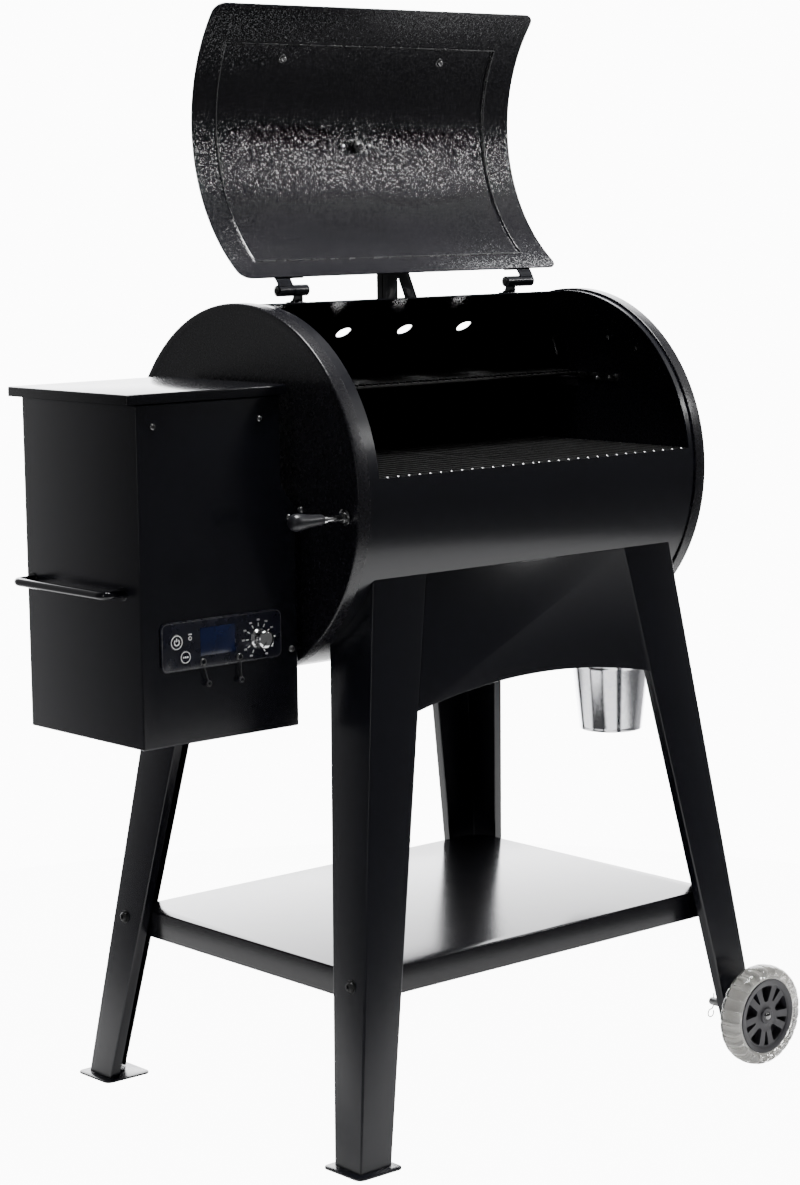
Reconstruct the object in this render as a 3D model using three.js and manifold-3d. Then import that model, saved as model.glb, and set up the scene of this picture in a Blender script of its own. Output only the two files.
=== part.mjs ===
// Pellet smoker grill: a horizontal barrel on four splayed legs, with a pellet hopper on its
// left end. Millimetres, +X to the right of the cook, +Y to the back, +Z up. The lid stands
// open on its stop. The floor is Z = 0, and the origin is under the middle of the whole grill.
import * as THREE from 'three';
import { mergeVertices } from 'three/addons/utils/BufferGeometryUtils.js';
import Module from 'manifold-3d';

const wasm = await Module();
wasm.setup();

// ---- driving dimensions ----------------------------------------------------------------
const GAP = 0.35; // clearance between pieces that touch
const SHEET = 2; // folded sheet steel

const AXIS_Z = 881; // height of the barrel's axis above the floor
const BARREL_R = 250; // outside radius of the barrel
const BARREL_HALF = 329; // half the length over the end caps
const CAP_RIM = 20; // width of the end caps' rolled rim
const CAP_R = 253; // outside radius of that rim
const OPENING = { left: -290, right: 298.5, rear: -2.5, front: 83.6 }; // mm and degrees
const ROUND = 60; // facets of a full turn of the barrel

const LID_HINGE = { y: 23, z: AXIS_Z + 266 };
const LID_OPEN = 143; // degrees that the open lid is turned back
const LID_R = 252.8; // outside radius of the lid
const LID = { left: -295.5, right: 303.5, rear: -2.5, front: 94 };
const LID_CORNER = 17; // radius of the lid's corners
const LID_MIDDLE = 4;
const HINGE_X = [-211.5, 219.5];
const THERMOMETER_ANGLE = 46.8;
const LID_HANDLE = { angle: 75, spread: 296, reach: 46, radius: 12.5 };

const VENT = { radius: 12, spacing: 119.4, middle: -11.2, angle: 38, count: 5 };

const LEG_TOP = { x: 283, y: 226, z: AXIS_Z - 114, width: 94 }; // outer corner of the fold
const LEG_FOOT = { x: 392, y: 309.5, z: 3, width: 54.6 };
const LEG_LIP = 15; // return lip along the free edges
const WHEEL_LEG_END = 57; // the two right legs stop this far above the floor
const FOOT = { size: 78, thick: 3, corner: 10, overhang: 13 };
const APRON_ARCH = { crown: AXIS_Z - 265, spring: AXIS_Z - 290 };

const SHELF = { halfX: 341, halfY: 256, top: AXIS_Z - 628, flange: 38.5, corner: 22 };

const WHEEL = { x: 357, z: 74, radius: 74, hub: 55, outer: 354, inner: 320 };
const AXLE_R = 6;

const CABINET = { left: -596, upper: -363, lower: -340, front: -134.5, back: 123 };
const CABINET_Z = { bottom: AXIS_Z - 307.5, top: AXIS_Z + 137.4, stepTop: AXIS_Z + 16, stepEnd: AXIS_Z - 12 };
const HOPPER_LID = { left: -613, right: -354, front: -140, back: 130.5, height: 13 };
const PANEL = { left: -567, right: -369.5, bottom: AXIS_Z - 210, top: AXIS_Z - 145.5 };
const DIAL = { x: -408.6, z: AXIS_Z - 181.5, radius: 12.5, length: 20 };
const POWER = { x: -543.4, z: AXIS_Z - 171.7, radius: 10 };
const PRIME = { x: -529.6, z: AXIS_Z - 192.4, radius: 8.6 };
const DISPLAY = { left: -504, right: -447, bottom: AXIS_Z - 194, top: AXIS_Z - 157 };
const JACKS = [-501, -441];
const JACK_Z = AXIS_Z - 202;

const AUGER = { z: AXIS_Z - 168, radius: 22, wall: 2, from: -528, to: -48 };
const POT = { radius: 45, wall: 3, bottom: AXIS_Z - 236, top: AXIS_Z - 138 };
const FAN = { z: AXIS_Z - 255, radius: 42, from: -474, to: -428 };
const PLATE = { edge: 232, top: AXIS_Z - 38, valley: AXIS_Z - 103 };
const BROIL = { from: -72, to: 60, slots: 5, slotWidth: 12, front: -170, back: -70 };
const SLIDE = { y: -224, z: AXIS_Z - 21, rod: 4.6 };
const GRIP = { outer: -421, inner: -366.4 }; // the slide's grip, along X
const GRATE = { top: AXIS_Z + 27, bar: 6, halfY: 243 };
const RACK = { z: AXIS_Z + 131, bar: 5, front: 6, back: 204, half: 311 };
const BUCKET = { x: 388, bottom: AXIS_Z - 427, height: 132, rTop: 62, rBottom: 48 };
const SPOUT = { z: AXIS_Z - 222, radius: 13, end: 396 };

const RAD = Math.PI / 180;

// ---- geometry helpers ------------------------------------------------------------------

// Signed volume of an indexed geometry: positive when its faces point out.
function volume(position, index) {
  const a = new THREE.Vector3();
  const b = new THREE.Vector3();
  const c = new THREE.Vector3();
  let sum = 0;
  for (let i = 0; i < index.length; i += 3) {
    a.fromBufferAttribute(position, index[i]);
    b.fromBufferAttribute(position, index[i + 1]);
    c.fromBufferAttribute(position, index[i + 2]);
    sum += a.dot(b.cross(c)) / 6;
  }
  return sum;
}

// A closed geometry with shared vertices, no empty triangles, and faces that point out.
function closed(geometry) {
  const bare = geometry.clone();
  bare.deleteAttribute('normal');
  bare.deleteAttribute('uv');
  const merged = mergeVertices(bare, 1e-4);
  const source = Array.from(merged.index.array);
  const index = [];
  for (let i = 0; i < source.length; i += 3) {
    const [a, b, c] = source.slice(i, i + 3);
    if (a !== b && b !== c && c !== a) index.push(a, b, c);
  }
  if (volume(merged.attributes.position, index) < 0) index.reverse();
  merged.setIndex(index);
  return merged;
}

function toSolid(geometry) {
  const ready = closed(geometry);
  const vertProperties = new Float32Array(ready.attributes.position.array);
  const triVerts = new Uint32Array(ready.index.array);
  return new wasm.Manifold(new wasm.Mesh({ numProp: 3, vertProperties, triVerts }));
}

function fromSolid(solid) {
  const mesh = solid.getMesh();
  const geometry = new THREE.BufferGeometry();
  geometry.setAttribute('position', new THREE.BufferAttribute(mesh.vertProperties, 3));
  geometry.setIndex(new THREE.BufferAttribute(mesh.triVerts, 1));
  return geometry;
}

function cut(body, ...tools) {
  let solid = toSolid(body);
  for (const tool of tools) solid = solid.subtract(toSolid(tool));
  return fromSolid(solid);
}

function join(first, ...rest) {
  let solid = toSolid(first);
  for (const next of rest) solid = solid.add(toSolid(next));
  return fromSolid(solid);
}

function box(x0, x1, y0, y1, z0, z1) {
  const geometry = new THREE.BoxGeometry(x1 - x0, y1 - y0, z1 - z0);
  return geometry.translate((x0 + x1) / 2, (y0 + y1) / 2, (z0 + z1) / 2);
}

const ACROSS = {
  x: new THREE.Matrix4().makeBasis(
    new THREE.Vector3(0, 1, 0), new THREE.Vector3(0, 0, 1), new THREE.Vector3(1, 0, 0)),
  y: new THREE.Matrix4().makeBasis(
    new THREE.Vector3(1, 0, 0), new THREE.Vector3(0, 0, 1), new THREE.Vector3(0, -1, 0)),
  z: new THREE.Matrix4(),
};

// An outline of [u, v] points pushed along an axis. The outline is (y, z) for x, (x, z) for y
// and (x, y) for z.
function prism(outline, axis, from, to) {
  const shape = Array.isArray(outline)
    ? new THREE.Shape(outline.map(([u, v]) => new THREE.Vector2(u, v)))
    : outline;
  const options = { depth: to - from, bevelEnabled: false, curveSegments: 5 };
  const geometry = new THREE.ExtrudeGeometry(shape, options).applyMatrix4(ACROSS[axis]);
  if (axis === 'x') return geometry.translate(from, 0, 0);
  if (axis === 'y') return geometry.translate(0, to, 0);
  return geometry.translate(0, 0, from);
}

// A round bar along an axis, centred on the other two coordinates in x, y, z order.
function rod(axis, radius, from, to, u, v, facets = 16) {
  const geometry = new THREE.CylinderGeometry(radius, radius, to - from, facets);
  const middle = (from + to) / 2;
  if (axis === 'x') return geometry.rotateZ(-Math.PI / 2).translate(middle, u, v);
  if (axis === 'y') return geometry.translate(u, middle, v);
  return geometry.rotateX(Math.PI / 2).translate(u, v, middle);
}

// A turned solid. The profile is [radius, distance along the axis].
function turned(profile, axis, facets = 24) {
  const points = profile.map(([r, h]) => new THREE.Vector2(r, h));
  const geometry = new THREE.LatheGeometry(points, facets);
  if (axis === 'x') return geometry.rotateZ(-Math.PI / 2);
  if (axis === 'z') return geometry.rotateX(Math.PI / 2);
  return geometry;
}

// A point on a circle about the barrel's axis, in (y, z): 0 degrees is the top and positive
// angles lean to the front.
function onBarrel(radius, degrees) {
  return [-radius * Math.sin(degrees * RAD), AXIS_Z + radius * Math.cos(degrees * RAD)];
}

function arcPoints(radius, from, to, count) {
  const points = [];
  for (let i = 0; i <= count; i += 1) points.push(onBarrel(radius, from + ((to - from) * i) / count));
  return points;
}

// A curved sheet about the barrel's axis.
function curvedSheet(inner, outer, fromDegrees, toDegrees, facets, fromX, toX) {
  const outline = arcPoints(outer, fromDegrees, toDegrees, facets);
  outline.push(...arcPoints(inner, toDegrees, fromDegrees, facets));
  return prism(outline, 'x', fromX, toX);
}

function barrelRoom(clearance) {
  return rod('x', BARREL_R + clearance, -420, 420, 0, AXIS_Z, ROUND);
}

// Skins rings of equal point counts, listed from the bottom up, into one solid.
function loft(levels) {
  const plan = (ring) => ring.map(([x, y]) => new THREE.Vector2(x, y));
  const clockwise = THREE.ShapeUtils.isClockWise(plan(levels[0]));
  const rings = clockwise ? levels.map((ring) => [...ring].reverse()) : levels;
  const count = rings[0].length;
  const position = rings.flat(2);
  const index = [];
  for (let k = 0; k < rings.length - 1; k += 1) {
    for (let i = 0; i < count; i += 1) {
      const a = k * count + i;
      const b = k * count + ((i + 1) % count);
      index.push(a, b, b + count, a, b + count, a + count);
    }
  }
  const last = (rings.length - 1) * count;
  for (const [a, b, c] of THREE.ShapeUtils.triangulateShape(plan(rings[0]), [])) {
    index.push(c, b, a, last + a, last + b, last + c);
  }
  const geometry = new THREE.BufferGeometry();
  geometry.setAttribute('position', new THREE.Float32BufferAttribute(position, 3));
  geometry.setIndex(index);
  return geometry;
}

const rectangle = (x0, x1, y0, y1, z) => [[x0, y0, z], [x1, y0, z], [x1, y1, z], [x0, y1, z]];

function roundedRectangle(x0, x1, y0, y1, radius) {
  const shape = new THREE.Shape();
  shape.moveTo(x0 + radius, y0);
  shape.lineTo(x1 - radius, y0);
  shape.absarc(x1 - radius, y0 + radius, radius, -Math.PI / 2, 0);
  shape.lineTo(x1, y1 - radius);
  shape.absarc(x1 - radius, y1 - radius, radius, 0, Math.PI / 2);
  shape.lineTo(x0 + radius, y1);
  shape.absarc(x0 + radius, y1 - radius, radius, Math.PI / 2, Math.PI);
  shape.lineTo(x0, y0 + radius);
  shape.absarc(x0 + radius, y0 + radius, radius, Math.PI, Math.PI * 1.5);
  return shape;
}

// A round wire or tube along straight runs whose corners are rounded.
function bentTube(corners, radius, bend, steps, facets = 8) {
  const points = corners.map((corner) => new THREE.Vector3(...corner));
  const path = new THREE.CurvePath();
  let start = points[0];
  for (let i = 1; i < points.length - 1; i += 1) {
    const before = points[i].clone().add(
      points[i - 1].clone().sub(points[i]).setLength(bend));
    const after = points[i].clone().add(
      points[i + 1].clone().sub(points[i]).setLength(bend));
    path.add(new THREE.LineCurve3(start, before));
    path.add(new THREE.QuadraticBezierCurve3(before, points[i], after));
    start = after;
  }
  path.add(new THREE.LineCurve3(start, points[points.length - 1]));
  const circle = new THREE.Shape();
  circle.absarc(0, 0, radius, 0, Math.PI * 2);
  const options = { steps, extrudePath: path, curveSegments: facets, bevelEnabled: false };
  return new THREE.ExtrudeGeometry(circle, options);
}

// ---- finishes --------------------------------------------------------------------------
const FINISH = {
  powder: { color: 0x121214, roughness: 0.38, metalness: 0.1 },
  enamel: { color: 0x17161a, roughness: 0.55, metalness: 0.1 },
  gloss: { color: 0x0e0e12, roughness: 0.15, metalness: 0.1 },
  panel: { color: 0x1a1c2b, roughness: 0.4, metalness: 0.0 },
  display: { color: 0x1c2a52, roughness: 0.12, metalness: 0.0 },
  chrome: { color: 0xd8d8dc, roughness: 0.12, metalness: 1.0 },
  steel: { color: 0x8f9196, roughness: 0.35, metalness: 1.0 },
  galvanized: { color: 0xc9ccd2, roughness: 0.3, metalness: 1.0 },
  castIron: { color: 0x1b1b1c, roughness: 0.75, metalness: 0.4 },
  plastic: { color: 0x2f2e33, roughness: 0.5, metalness: 0.0 },
  rubber: { color: 0x202022, roughness: 0.8, metalness: 0.0 },
  tyre: { color: 0xc4c3bc, roughness: 0.2, metalness: 0.0 },
};

const grill = new THREE.Group();

function place(name, finish, geometry, parent = grill) {
  const mesh = new THREE.Mesh(closed(geometry), new THREE.MeshStandardMaterial(FINISH[finish]));
  mesh.name = name;
  parent.add(mesh);
  return mesh;
}

// ---- barrel ----------------------------------------------------------------------------

function ventCutter(i) {
  const x = VENT.middle + (i - (VENT.count - 1) / 2) * VENT.spacing;
  const bore = rod('z', VENT.radius, BARREL_R - 30, BARREL_R + 30, 0, 0, 20);
  return bore.rotateX(-VENT.angle * RAD).translate(x, 0, AXIS_Z);
}

function barrelShell() {
  const half = BARREL_HALF - SHEET - GAP;
  const inner = BARREL_R - SHEET;
  const tube = cut(
    rod('x', BARREL_R, -half, half, 0, AXIS_Z, ROUND),
    rod('x', inner, -half - 1, half + 1, 0, AXIS_Z, ROUND));
  const opening = curvedSheet(
    BARREL_R - 30, BARREL_R + 30, OPENING.rear, OPENING.front, 16, OPENING.left, OPENING.right);
  const vents = Array.from({ length: VENT.count }, (_, i) => ventCutter(i));
  return cut(tube, opening, ...vents);
}

// A dished cap with a rim that laps over the shell, and the ledges welded inside it.
function endCap(side) {
  const face = side * BARREL_HALF;
  const back = side * (BARREL_HALF - SHEET);
  const rim = side * (BARREL_HALF - CAP_RIM);
  const cap = turned(
    [[0, face], [CAP_R, face], [CAP_R, rim], [BARREL_R + GAP, rim], [BARREL_R + GAP, back], [0, back]],
    'x', ROUND).translate(0, 0, AXIS_Z);
  const reach = [side * (BARREL_HALF - 16), side * (BARREL_HALF - 1)].sort((a, b) => a - b);
  const grateLedge = box(...reach, -225, 225, AXIS_Z + 11.5, AXIS_Z + 14);
  const rackLedge = box(...reach, RACK.front, RACK.back, RACK.z - 13, RACK.z - 10.5);
  return join(cap, grateLedge, rackLedge);
}

function barrel() {
  place('barrel_shell', 'powder', barrelShell());
  place('left_end_cap', 'powder', cut(
    endCap(-1),
    rod('x', AUGER.radius + 1, -340, -320, 0, AUGER.z, 24),
    rod('x', SLIDE.rod + 0.6, -340, -320, SLIDE.y, SLIDE.z, 16)));
  place('right_end_cap', 'powder', cut(
    endCap(1), rod('x', SPOUT.radius + GAP, 320, 340, 0, SPOUT.z, 20)));
}

// ---- legs, aprons, shelf and feet ------------------------------------------------------

// Section of a folded leg: outer corner at the origin, both walls running inwards.
function legSection(width) {
  const lip = LEG_LIP;
  const t = SHEET;
  return [
    [0, 0], [width, 0], [width, lip], [width - t, lip], [width - t, t],
    [t, t], [t, width - t], [lip, width - t], [lip, width], [0, width],
  ];
}

function legAt(height) {
  const k = (LEG_TOP.z - height) / (LEG_TOP.z - LEG_FOOT.z);
  return {
    x: THREE.MathUtils.lerp(LEG_TOP.x, LEG_FOOT.x, k),
    y: THREE.MathUtils.lerp(LEG_TOP.y, LEG_FOOT.y, k),
    width: THREE.MathUtils.lerp(LEG_TOP.width, LEG_FOOT.width, k),
  };
}

function legRing(height) {
  const { x, y, width } = legAt(height);
  return legSection(width).map(([u, v]) => [x - u, v - y, height]);
}

// The front right leg, trimmed to sit under the barrel; the others are its mirror images.
function legGeometry(bottom) {
  return cut(loft([legRing(bottom), legRing(LEG_TOP.z + 54)]), barrelRoom(0.6));
}

function leg(name, side, depth, bottom) {
  let geometry = legGeometry(bottom);
  if (side > 0) {
    geometry = cut(geometry, rod('y', AXLE_R + GAP, -330, -270, WHEEL.x, WHEEL.z, 16));
  }
  place(name, 'powder', geometry.scale(side, -depth, 1));
}

function foot(name, depth) {
  const { x, y } = LEG_FOOT;
  const outerX = -x - FOOT.overhang;
  const outerY = -y - FOOT.overhang;
  const shape = roundedRectangle(
    outerX, outerX + FOOT.size, outerY, outerY + FOOT.size, FOOT.corner);
  place(name, 'powder', prism(shape, 'z', 0, FOOT.thick).scale(1, -depth, 1));
}

// The plate between two legs, in the tilted plane of their outer faces, with an arched edge.
function apronGeometry() {
  const lean = (LEG_FOOT.y - LEG_TOP.y) / (LEG_TOP.z - LEG_FOOT.z);
  const edge = (z) => legAt(z).x - legAt(z).width - 1;
  const { crown, spring } = APRON_ARCH;
  const rise = crown - spring;
  const radius = (edge(spring) ** 2 + rise ** 2) / (2 * rise);
  const swing = Math.asin(edge(spring) / radius);
  const topZ = LEG_TOP.z + 24;
  const shape = new THREE.Shape();
  shape.moveTo(-edge(topZ), topZ);
  shape.lineTo(-edge(spring), spring);
  shape.absarc(0, crown - radius, radius, Math.PI / 2 + swing, Math.PI / 2 - swing, true);
  shape.lineTo(edge(topZ), topZ);
  const plate = prism(shape, 'y', 0, SHEET);
  const tilt = new THREE.Matrix4().set(
    1, 0, 0, 0,
    0, 1, lean, -LEG_TOP.y - lean * LEG_TOP.z,
    0, 0, 1, 0,
    0, 0, 0, 1);
  return cut(plate.applyMatrix4(tilt), barrelRoom(0.6));
}

function shelf() {
  const { halfX, halfY, top, flange, corner } = SHELF;
  const outline = (inset) => {
    const x = halfX - inset;
    const y = halfY - inset;
    const c = corner;
    return [
      [-x + c, -y], [x - c, -y], [x, -y + c], [x, y - c],
      [x - c, y], [-x + c, y], [-x, y - c], [-x, -y + c],
    ];
  };
  place('bottom_shelf', 'powder', cut(
    prism(outline(0), 'z', top - flange, top),
    prism(outline(SHEET), 'z', top - flange - 1, top - SHEET)));
}

function stand() {
  leg('leg_front_left', -1, -1, FOOT.thick + GAP);
  leg('leg_rear_left', -1, 1, FOOT.thick + GAP);
  leg('leg_front_right', 1, -1, WHEEL_LEG_END);
  leg('leg_rear_right', 1, 1, WHEEL_LEG_END);
  foot('foot_front_left', -1);
  foot('foot_rear_left', 1);
  place('front_apron', 'powder', apronGeometry());
  place('rear_apron', 'powder', apronGeometry().scale(1, -1, 1));
  shelf();
}

// ---- wheels ----------------------------------------------------------------------------

// Five pairs of spokes: a hub drum pierced by ten wedge-shaped windows.
function hubGeometry() {
  const { outer, inner, hub } = WHEEL;
  const drum = turned([
    [AXLE_R + GAP, -outer + 3], [15, -outer + 3], [15, -outer + 9], [hub - 8, -outer + 9],
    [hub - 8, -outer + 1], [hub, -outer + 1], [hub, -inner - 1], [15, -inner - 1],
    [15, -inner + 13], [AXLE_R + GAP, -inner + 13], [AXLE_R + GAP, -outer + 3]], 'y', 28);
  const windows = [];
  for (let i = 0; i < 10; i += 1) {
    const half = i % 2 === 0 ? 11 : 6.5;
    const near = i % 2 === 0 ? 21 : 26;
    const far = hub - 10;
    const corner = (r, a) => [r * Math.sin(a * RAD), r * Math.cos(a * RAD)];
    const outline = [
      corner(near, -half * 0.8), corner(far, -half), corner(far, half), corner(near, half * 0.8)];
    windows.push(prism(outline, 'y', -outer - 2, -inner + 2).rotateY(i * 36 * RAD));
  }
  return cut(drum, ...windows).translate(WHEEL.x, 0, WHEEL.z);
}

function tyreGeometry() {
  const { outer, inner, hub, radius } = WHEEL;
  const r = hub + GAP;
  const crown = 7;
  return turned([
    [r, -outer + 2], [radius - crown, -outer], [radius - 1.5, -outer + crown * 0.6],
    [radius, -(outer + inner) / 2], [radius - 1.5, -inner - crown * 0.6],
    [radius - crown, -inner], [r, -inner - 2], [r, -outer + 2]], 'y', 32)
    .translate(WHEEL.x, 0, WHEEL.z);
}

// A plain axle bolt with a button head outside the wheel and a washer inside the leg.
function axleGeometry() {
  const head = -WHEEL.outer - 4;
  return turned([
    [0, head], [9, head + 1.5], [11, head + 5], [AXLE_R, head + 5], [AXLE_R, -229], [0, -229]],
  'y', 16).translate(WHEEL.x, 0, WHEEL.z);
}

function wheels() {
  for (const [end, depth] of [['front', 1], ['rear', -1]]) {
    place(`wheel_hub_${end}`, 'plastic', hubGeometry().scale(1, depth, 1));
    place(`wheel_tyre_${end}`, 'tyre', tyreGeometry().scale(1, depth, 1));
    place(`axle_${end}`, 'steel', axleGeometry().scale(1, depth, 1));
  }
}

// ---- lid -------------------------------------------------------------------------------

// Lid pieces are drawn closed, inside a group that is turned back about the hinge.
const lidPivot = new THREE.Group();
lidPivot.position.set(0, LID_HINGE.y, LID_HINGE.z);
lidPivot.rotation.x = -LID_OPEN * RAD;
grill.add(lidPivot);
const lidGroup = new THREE.Group();
lidGroup.position.set(0, -LID_HINGE.y, -LID_HINGE.z);
lidPivot.add(lidGroup);

// Turns a shape drawn along +Z from the barrel's axis to an angle towards the front.
function radial(geometry, x, degrees) {
  return geometry.rotateX(degrees * RAD).translate(x, 0, AXIS_Z);
}

const handleX = [LID_MIDDLE - 2 - LID_HANDLE.spread / 2, LID_MIDDLE - 2 + LID_HANDLE.spread / 2];

// What is cut away to round the lid's four corners.
function lidCorners() {
  const c = LID_CORNER;
  const turn = (c / LID_R) / RAD;
  const tools = [];
  for (const [x, side] of [[LID.left + c, -1], [LID.right - c, 1]]) {
    for (const [degrees, end] of [[LID.front - turn, -1], [LID.rear + turn, 1]]) {
      const [x0, x1] = [0, side * (c + 1)].sort((a, b) => a - b);
      const [y0, y1] = [0, end * (c + 1)].sort((a, b) => a - b);
      const tool = cut(box(x0, x1, y0, y1, 240, 262), rod('z', c, 235, 267, 0, 0, 24));
      tools.push(radial(tool, x, degrees));
    }
  }
  return tools;
}

function lidShell() {
  const sheet = curvedSheet(
    LID_R - 1.8, LID_R, LID.rear, LID.front, 24, LID.left, LID.right);
  const stem = radial(rod('z', 4.6, 230, 270, 0, 0, 12), 0, THERMOMETER_ANGLE);
  return cut(sheet, stem, ...lidCorners());
}

function handlePost(x) {
  const top = LID_R + LID_HANDLE.reach;
  const post = rod('z', 8, LID_R + GAP, top, 0, 0, 12);
  return cut(
    radial(post, x, LID_HANDLE.angle),
    rod('x', LID_HANDLE.radius + GAP, x - 20, x + 20, ...onBarrel(top, LID_HANDLE.angle), 20));
}

function thermometer() {
  const out = LID_R + GAP;
  const inside = LID_R - 2.4;
  return radial(turned([
    [0, inside - 42], [3, inside - 40], [3, inside - 8], [8, inside - 8], [8, inside], [4.2, inside],
    [4.2, out], [34, out], [36, out + 3], [36, out + 12], [31, out + 15], [0, out + 16]],
  'z', 20), 0, THERMOMETER_ANGLE);
}

// The span along X between two distances from x, measured towards one side.
const reach = (x, side, near, far) => [x + side * near, x + side * far].sort((a, b) => a - b);

// The hinges are handed: side is the way that the lid's half lies from the middle of the hinge.
function hingeLeaf(x, side) {
  const { y, z } = LID_HINGE;
  const tab = prism(
    [[y - 60, z - 21], [y - 60, z - 11], [y - 14, z - 9.5], [y - 13, z - 14]], 'x', x - 25, x + 25);
  const neck = prism(
    [[y - 16, z - 14], [y - 16, z - 9.5], [y - 6, z - 7], [y - 3, z + 6.5], [y + 8, z], [y - 2, z - 14]],
    'x', ...reach(x, side, 1, 26));
  const knuckle = rod('x', 8, ...reach(x, side, 1, 26), y, z, 20);
  return cut(
    join(tab, neck, knuckle),
    rod('x', LID_R + 0.5, x - 35, x + 35, 0, AXIS_Z, 2 * ROUND),
    rod('x', 3.4, x - 30, x + 30, y, z, 12));
}

// The forked prop on the lid's back: its two feet land on the barrel when the lid is open.
function lidStop() {
  const outline = new THREE.Shape();
  const foot = AXIS_Z + 236;
  const corners = [
    [-26, foot], [8, foot], [8, AXIS_Z + 276], [11, AXIS_Z + 276], [20, foot], [44, foot],
    [26, AXIS_Z + 284], [20, AXIS_Z + 330], [-26, AXIS_Z + 330]];
  outline.setFromPoints(corners.map(([x, z]) => new THREE.Vector2(x, z)));
  const prop = prism(outline, 'y', 38, 60);
  const openLid = rod('x', LID_R + 0.5, -60, 60, 0, AXIS_Z, 2 * ROUND)
    .translate(0, -LID_HINGE.y, -LID_HINGE.z)
    .rotateX(-LID_OPEN * RAD)
    .translate(0, LID_HINGE.y, LID_HINGE.z);
  return cut(prop, openLid, barrelRoom(0.6));
}

function lid() {
  place('lid_shell', 'enamel', lidShell(), lidGroup);
  const bar = onBarrel(LID_R + LID_HANDLE.reach, LID_HANDLE.angle);
  place('lid_handle_bar', 'steel',
    rod('x', LID_HANDLE.radius, handleX[0] - 34, handleX[1] + 34, ...bar, 24), lidGroup);
  place('lid_handle_post_left', 'powder', handlePost(handleX[0]), lidGroup);
  place('lid_handle_post_right', 'powder', handlePost(handleX[1]), lidGroup);
  place('lid_thermometer', 'chrome', thermometer(), lidGroup);
  place('lid_hinge_leaf_left', 'powder', hingeLeaf(HINGE_X[0], -1), lidGroup);
  place('lid_hinge_leaf_right', 'powder', hingeLeaf(HINGE_X[1], 1), lidGroup);
  place('lid_stop_bracket', 'powder', lidStop());
}

// Fixed half of a hinge: a foot on the barrel, one knuckle and the pin.
function hingeBracket(x, side) {
  const { y, z } = LID_HINGE;
  const block = prism(
    [[y - 8, z - 28], [y + 18, z - 28], [y + 18, z - 15], [y + 7, z], [y - 7, z], [y - 8, z - 15]],
    'x', ...reach(x, side, -24, -3));
  const knuckle = rod('x', 8, ...reach(x, side, -26, 0), y, z, 20);
  const pin = rod('x', 3, ...reach(x, side, -1, 28), y, z, 12);
  const head = rod('x', 5.5, ...reach(x, side, 26.5, 29), y, z, 12);
  return cut(join(block, knuckle, pin, head), barrelRoom(0.4));
}

// ---- hopper ----------------------------------------------------------------------------

function cabinetOutline(inset, top) {
  const { left, upper, lower } = CABINET;
  const { bottom, stepTop, stepEnd } = CABINET_Z;
  return [
    [left + inset, bottom + inset], [lower - inset, bottom + inset], [lower - inset, stepEnd],
    [upper - inset, stepTop], [upper - inset, top], [left + inset, top]];
}

function cabinetShell() {
  const { front, back, lower } = CABINET;
  const room = prism(cabinetOutline(SHEET, CABINET_Z.top + 5), 'y', front + SHEET, back - SHEET);
  const flange = cut(
    box(lower - 1, -BARREL_HALF - GAP, -112, 108, AXIS_Z - 232, AXIS_Z - 30),
    box(lower - 10, -BARREL_HALF + 5, -100, 96, AXIS_Z - 220, AXIS_Z - 42));
  return cut(
    join(cut(prism(cabinetOutline(0, CABINET_Z.top), 'y', front, back), room), flange),
    box(PANEL.left + 8, PANEL.right - 8, front - 5, front + 5, PANEL.bottom + 7, PANEL.top - 7),
    rod('x', AUGER.radius + 1, lower - 10, lower + 5, 0, AUGER.z, 24),
    rod('y', 9.5, back - 5, back + 5, -480, AXIS_Z - 275, 16));
}

function hopperLid() {
  const { left, right, front, back, height } = HOPPER_LID;
  const bottom = CABINET_Z.top + GAP;
  return cut(
    box(left, right, front, back, bottom, bottom + height),
    box(left + SHEET, right - SHEET, front + SHEET, back - SHEET, bottom - 1, bottom + height - SHEET));
}

function pelletBin() {
  const x0 = CABINET.left + 5;
  const x1 = CABINET.upper - 5;
  const y0 = CABINET.front + 5;
  const y1 = CABINET.back - 5;
  const top = CABINET_Z.top - 14;
  const knee = AXIS_Z + 40;
  const outlet = AUGER.z + AUGER.radius + 1;
  const t = SHEET;
  const outer = loft([
    rectangle(-526, -452, -24, 24, outlet), rectangle(x0, x1, y0, y1, knee),
    rectangle(x0, x1, y0, y1, top)]);
  const inner = loft([
    rectangle(-526 + t, -452 - t, -24 + t, 24 - t, outlet - 1),
    rectangle(x0 + t, x1 - t, y0 + t, y1 - t, knee + 1),
    rectangle(x0 + t, x1 - t, y0 + t, y1 - t, top + 1)]);
  return cut(outer, inner);
}

function safetyScreen() {
  const z = AXIS_Z + 58;
  const x0 = CABINET.left + 8;
  const x1 = CABINET.upper - 8;
  const y0 = CABINET.front + 8;
  const y1 = CABINET.back - 8;
  const bars = [box(x0, x1, y0, y0 + 5, z, z + 3), box(x0, x1, y1 - 5, y1, z, z + 3)];
  const count = 8;
  for (let i = 0; i < count; i += 1) {
    const x = x0 + 2 + ((x1 - x0 - 8) * i) / (count - 1);
    bars.push(box(x, x + 4, y0 + 2, y1 - 2, z + 1, z + 4));
  }
  return join(...bars);
}

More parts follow.
